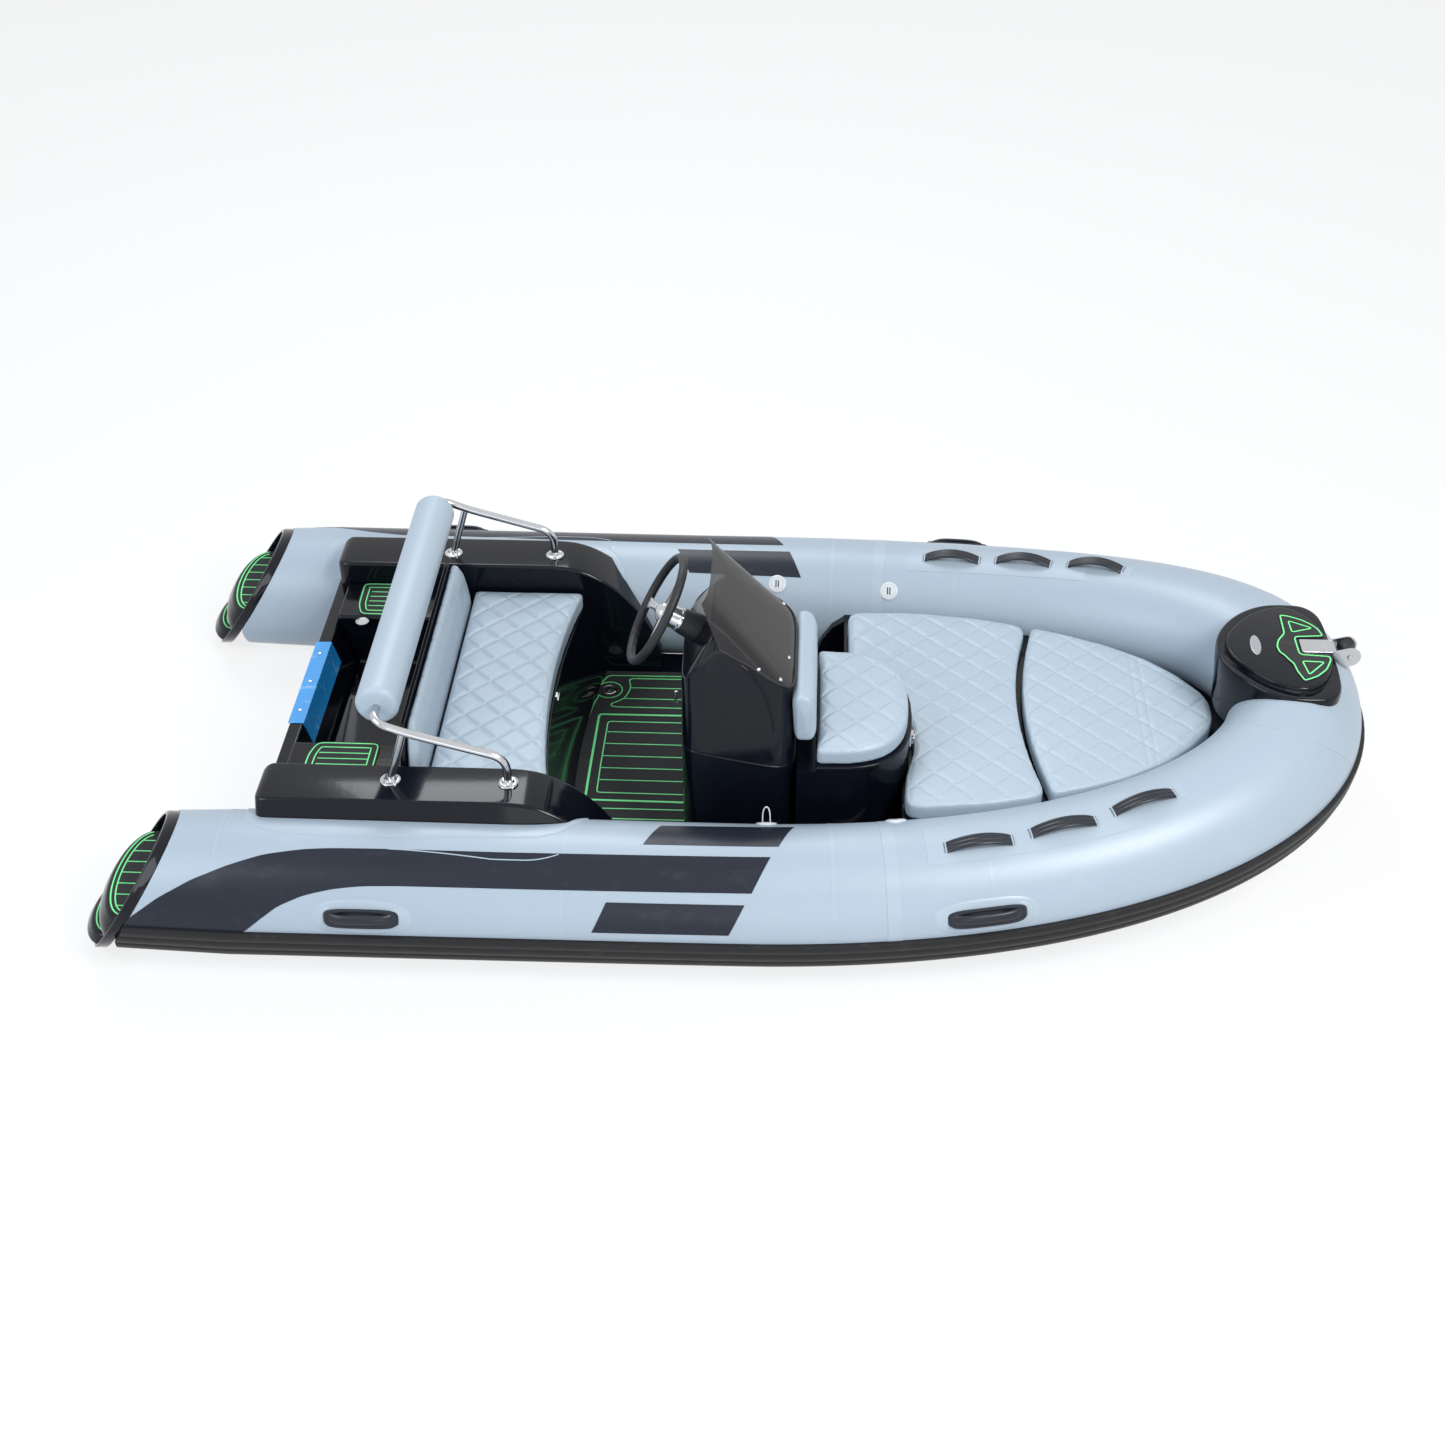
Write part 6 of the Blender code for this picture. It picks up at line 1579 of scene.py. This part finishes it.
for name, x, port, stbd in STRAPS:
    for label, side, angle in (("port", 1, port), ("stbd", -1, stbd)):
        along = distance_at(x)
        share = np.linspace(-1.0, 1.0, 60)[:, None]
        wide = np.linspace(-1.0, 1.0, 25)[None, :]
        arch = 0.0270 * np.clip(np.cos(share * math.pi / 2 * 1.06), 0.0, 1.0) ** 0.75
        ribs = 0.0007 * np.cos(wide * math.pi * 3) * (np.abs(wide) < 0.9)
        edge_drop = 0.0022 * np.clip((np.abs(wide) - 0.85) / 0.15, 0, 1) ** 2
        outer = local(along, angle, 0.100 * share, 0.018 * wide, 0.0058 + arch + ribs - edge_drop, side)
        inner = local(along, angle, 0.100 * share, 0.018 * wide, np.where(arch > 0.0005, arch, -0.002) + 0 * wide, side)
        add_piece(f"{name}_{label}_web", [slab(outer, inner)], black_rubber, stands_for=[f"{name}_{label}"])
        for end in (-1, 1):
            s = np.linspace(0.094, 0.130, 10)[None, :] * end
            c = np.linspace(-0.026, 0.026, 12)[:, None]
            over_web = 0.0010 + 0.0062 * (np.abs(c) < 0.0195) * (np.abs(s) < 0.102)
            patches.append(slab(local(along, angle, s, c, over_web, side), local(along, angle, s, c, -0.002, side)))
for side, low_angle, high_angle in ((1, 84.0, 116.0), (-1, 62.0, 102.0)):
    along = np.linspace(2.335, 2.965, 60)[None, :]
    angle = np.linspace(low_angle, high_angle, 24)[:, None] + (along - 2.335) * (4.0 if side < 0 else -2.0)
    patches.append(slab(skin(along, angle, 0.0009, side), skin(along, angle, -0.001, side)))
add_piece("handle_patches", patches, seam_pvc)
print("handles:", 2 * (len(GRIPS) + len(STRAPS)))

# %% [markdown]
# ## Valves and small fittings
# Air valves are white discs with a raised ring and a fold-flat key. Latches, a cleat, a drain and deck
# fittings are turned or bent from bright metal. They are small, but each is where the photograph has it.

# %% Valves
def disc_on_skin(along, angle, side, profile, sides=40):
    centre = skin(along, angle, 0.0, side)
    normal = skin(along, angle, 0.01, side) - centre
    return turned(profile, centre, normal, sides), centre, normal / np.linalg.norm(normal)


VALVE = [(-0.004, 0.0), (-0.004, 0.031), (0.0015, 0.031), (0.0035, 0.029), (0.0045, 0.025), (0.0030, 0.0235), (0.0030, 0.021), (0.0050, 0.0195), (0.0055, 0.0)]
valves, keys = [], []
for along, angle, side in ((2.2750, 137.6, 1), (1.8770, 134.0, 1), (2.2690, 127.0, -1), (1.8772, 131.0, -1)):
    disc, centre, normal = disc_on_skin(along, angle, side, VALVE)
    valves.append(disc)
    along_way = np.array([1.0, 0.0, 0.0]) - normal * normal[0]
    cross_way = np.cross(normal, along_way)
    for k in (-1, 1):
        keys.append(bar(np.linspace(centre + normal * 0.006 + along_way * 0.004 * k - cross_way * 0.012,
                                    centre + normal * 0.006 + along_way * 0.004 * k + cross_way * 0.012, 6), 0.0018, 8))
add_piece("air_valves", valves, white_plastic)
add_piece("valve_keys", keys, black_rubber)
spot, normal = skin(1.8772, 131.0, 0.0, -1), skin(1.8772, 131.0, 0.01, -1) - skin(1.8772, 131.0, 0.0, -1)
normal /= np.linalg.norm(normal)
bow_turn = np.linspace(0.0, math.pi, 24)
loop = spot + np.outer(np.cos(bow_turn) * 0.011, [1.0, 0.0, 0.0]) + np.outer(0.006 + np.sin(bow_turn) ** 0.6 * 0.040, normal * 0.4 + np.array([0, 0, 0.9]))
add_piece("valve_loop", [bar(loop, 0.0020, 10)], white_plastic)

# %% Latches, drain, cleat and screws
metal = []
for x, y in ((0.930, 0.4114), (0.930, -0.4114)):
    metal.append(turned([(-0.002, 0.0), (-0.002, 0.0250), (0.0030, 0.0250), (0.0042, 0.0230), (0.0030, 0.0200), (0.0026, 0.0120), (0.0040, 0.0090), (0.0044, 0.0)],
                        (x, y, SOLE_PAD - 0.001), (0, 0, 1), 40))
metal.append(turned([(-0.002, 0.0), (-0.002, 0.0220), (0.0030, 0.0220), (0.0044, 0.0190), (0.0020, 0.0160), (0.0020, 0.0), ], (0.135, 0.300, 0.386), (0, 0, 1), 36))
for y in (-0.150, 0.0, 0.150):
    metal.append(turned([(0.0, 0.0062), (0.0018, 0.0056), (0.0026, 0.0030), (0.0026, 0.0)], (0.0200, y, 0.3630), (0, 0, 1), 18))
cleat = np.array([1.2300, -0.3300, 0.5900])
metal.append(bar(cleat + np.array([(-0.004, 0.0, -0.022), (-0.010, 0.0, -0.018), (-0.012, 0.0, 0.0), (-0.010, 0.0, 0.018), (-0.004, 0.0, 0.022)]), 0.0035, 12))
add_piece("deck_fittings", metal, stainless)


def latch(place, outward, body, name):
    """A spring latch: a base plate, a bent lever and the catch above it."""
    place, outward = np.array(place), np.array(outward) / np.linalg.norm(outward)
    side = np.cross([0, 0, 1], outward)
    def box_bar(low, high, half, thick):
        return loft([[place + outward * thick * a + side * half * b + np.array([0, 0, z]) for a, b in ((0, -1), (1, -0.8), (1, 0.8), (0, 1))] for z in (low, high)])
    parts = [box_bar(-0.034, 0.000, 0.014, 0.004), box_bar(-0.028, 0.004, 0.007, 0.011), box_bar(-0.002, 0.010, 0.015, 0.009),
             bar(place + outward * 0.012 + np.outer([-0.020, -0.008, 0.008, 0.020], side) + np.outer([0.0, 0.002, 0.002, 0.0], [0, 0, 1]), 0.0030, 10)]
    return add_piece(name, parts, stainless, body=body)


latch((0.7985, 0.040, 0.292), (1, 0, -0.10), "boat", "bench_latch")
latch((1.9265, -0.2600, 0.408), (1, -0.15, 0), "boat", "seat_latch")
print("valves and fittings")

# %% [markdown]
# ## Solids still shown
# Any imported solid that no dressed piece stands for stays shown, and its name is printed. The dressed
# boat has to stay inside the imported model's box, apart from what fabric may stand proud.

# %% Solids still shown
for name, thing in sorted(nodes.items()):
    if not thing.hide_render:
        print("solid still shown:", name)
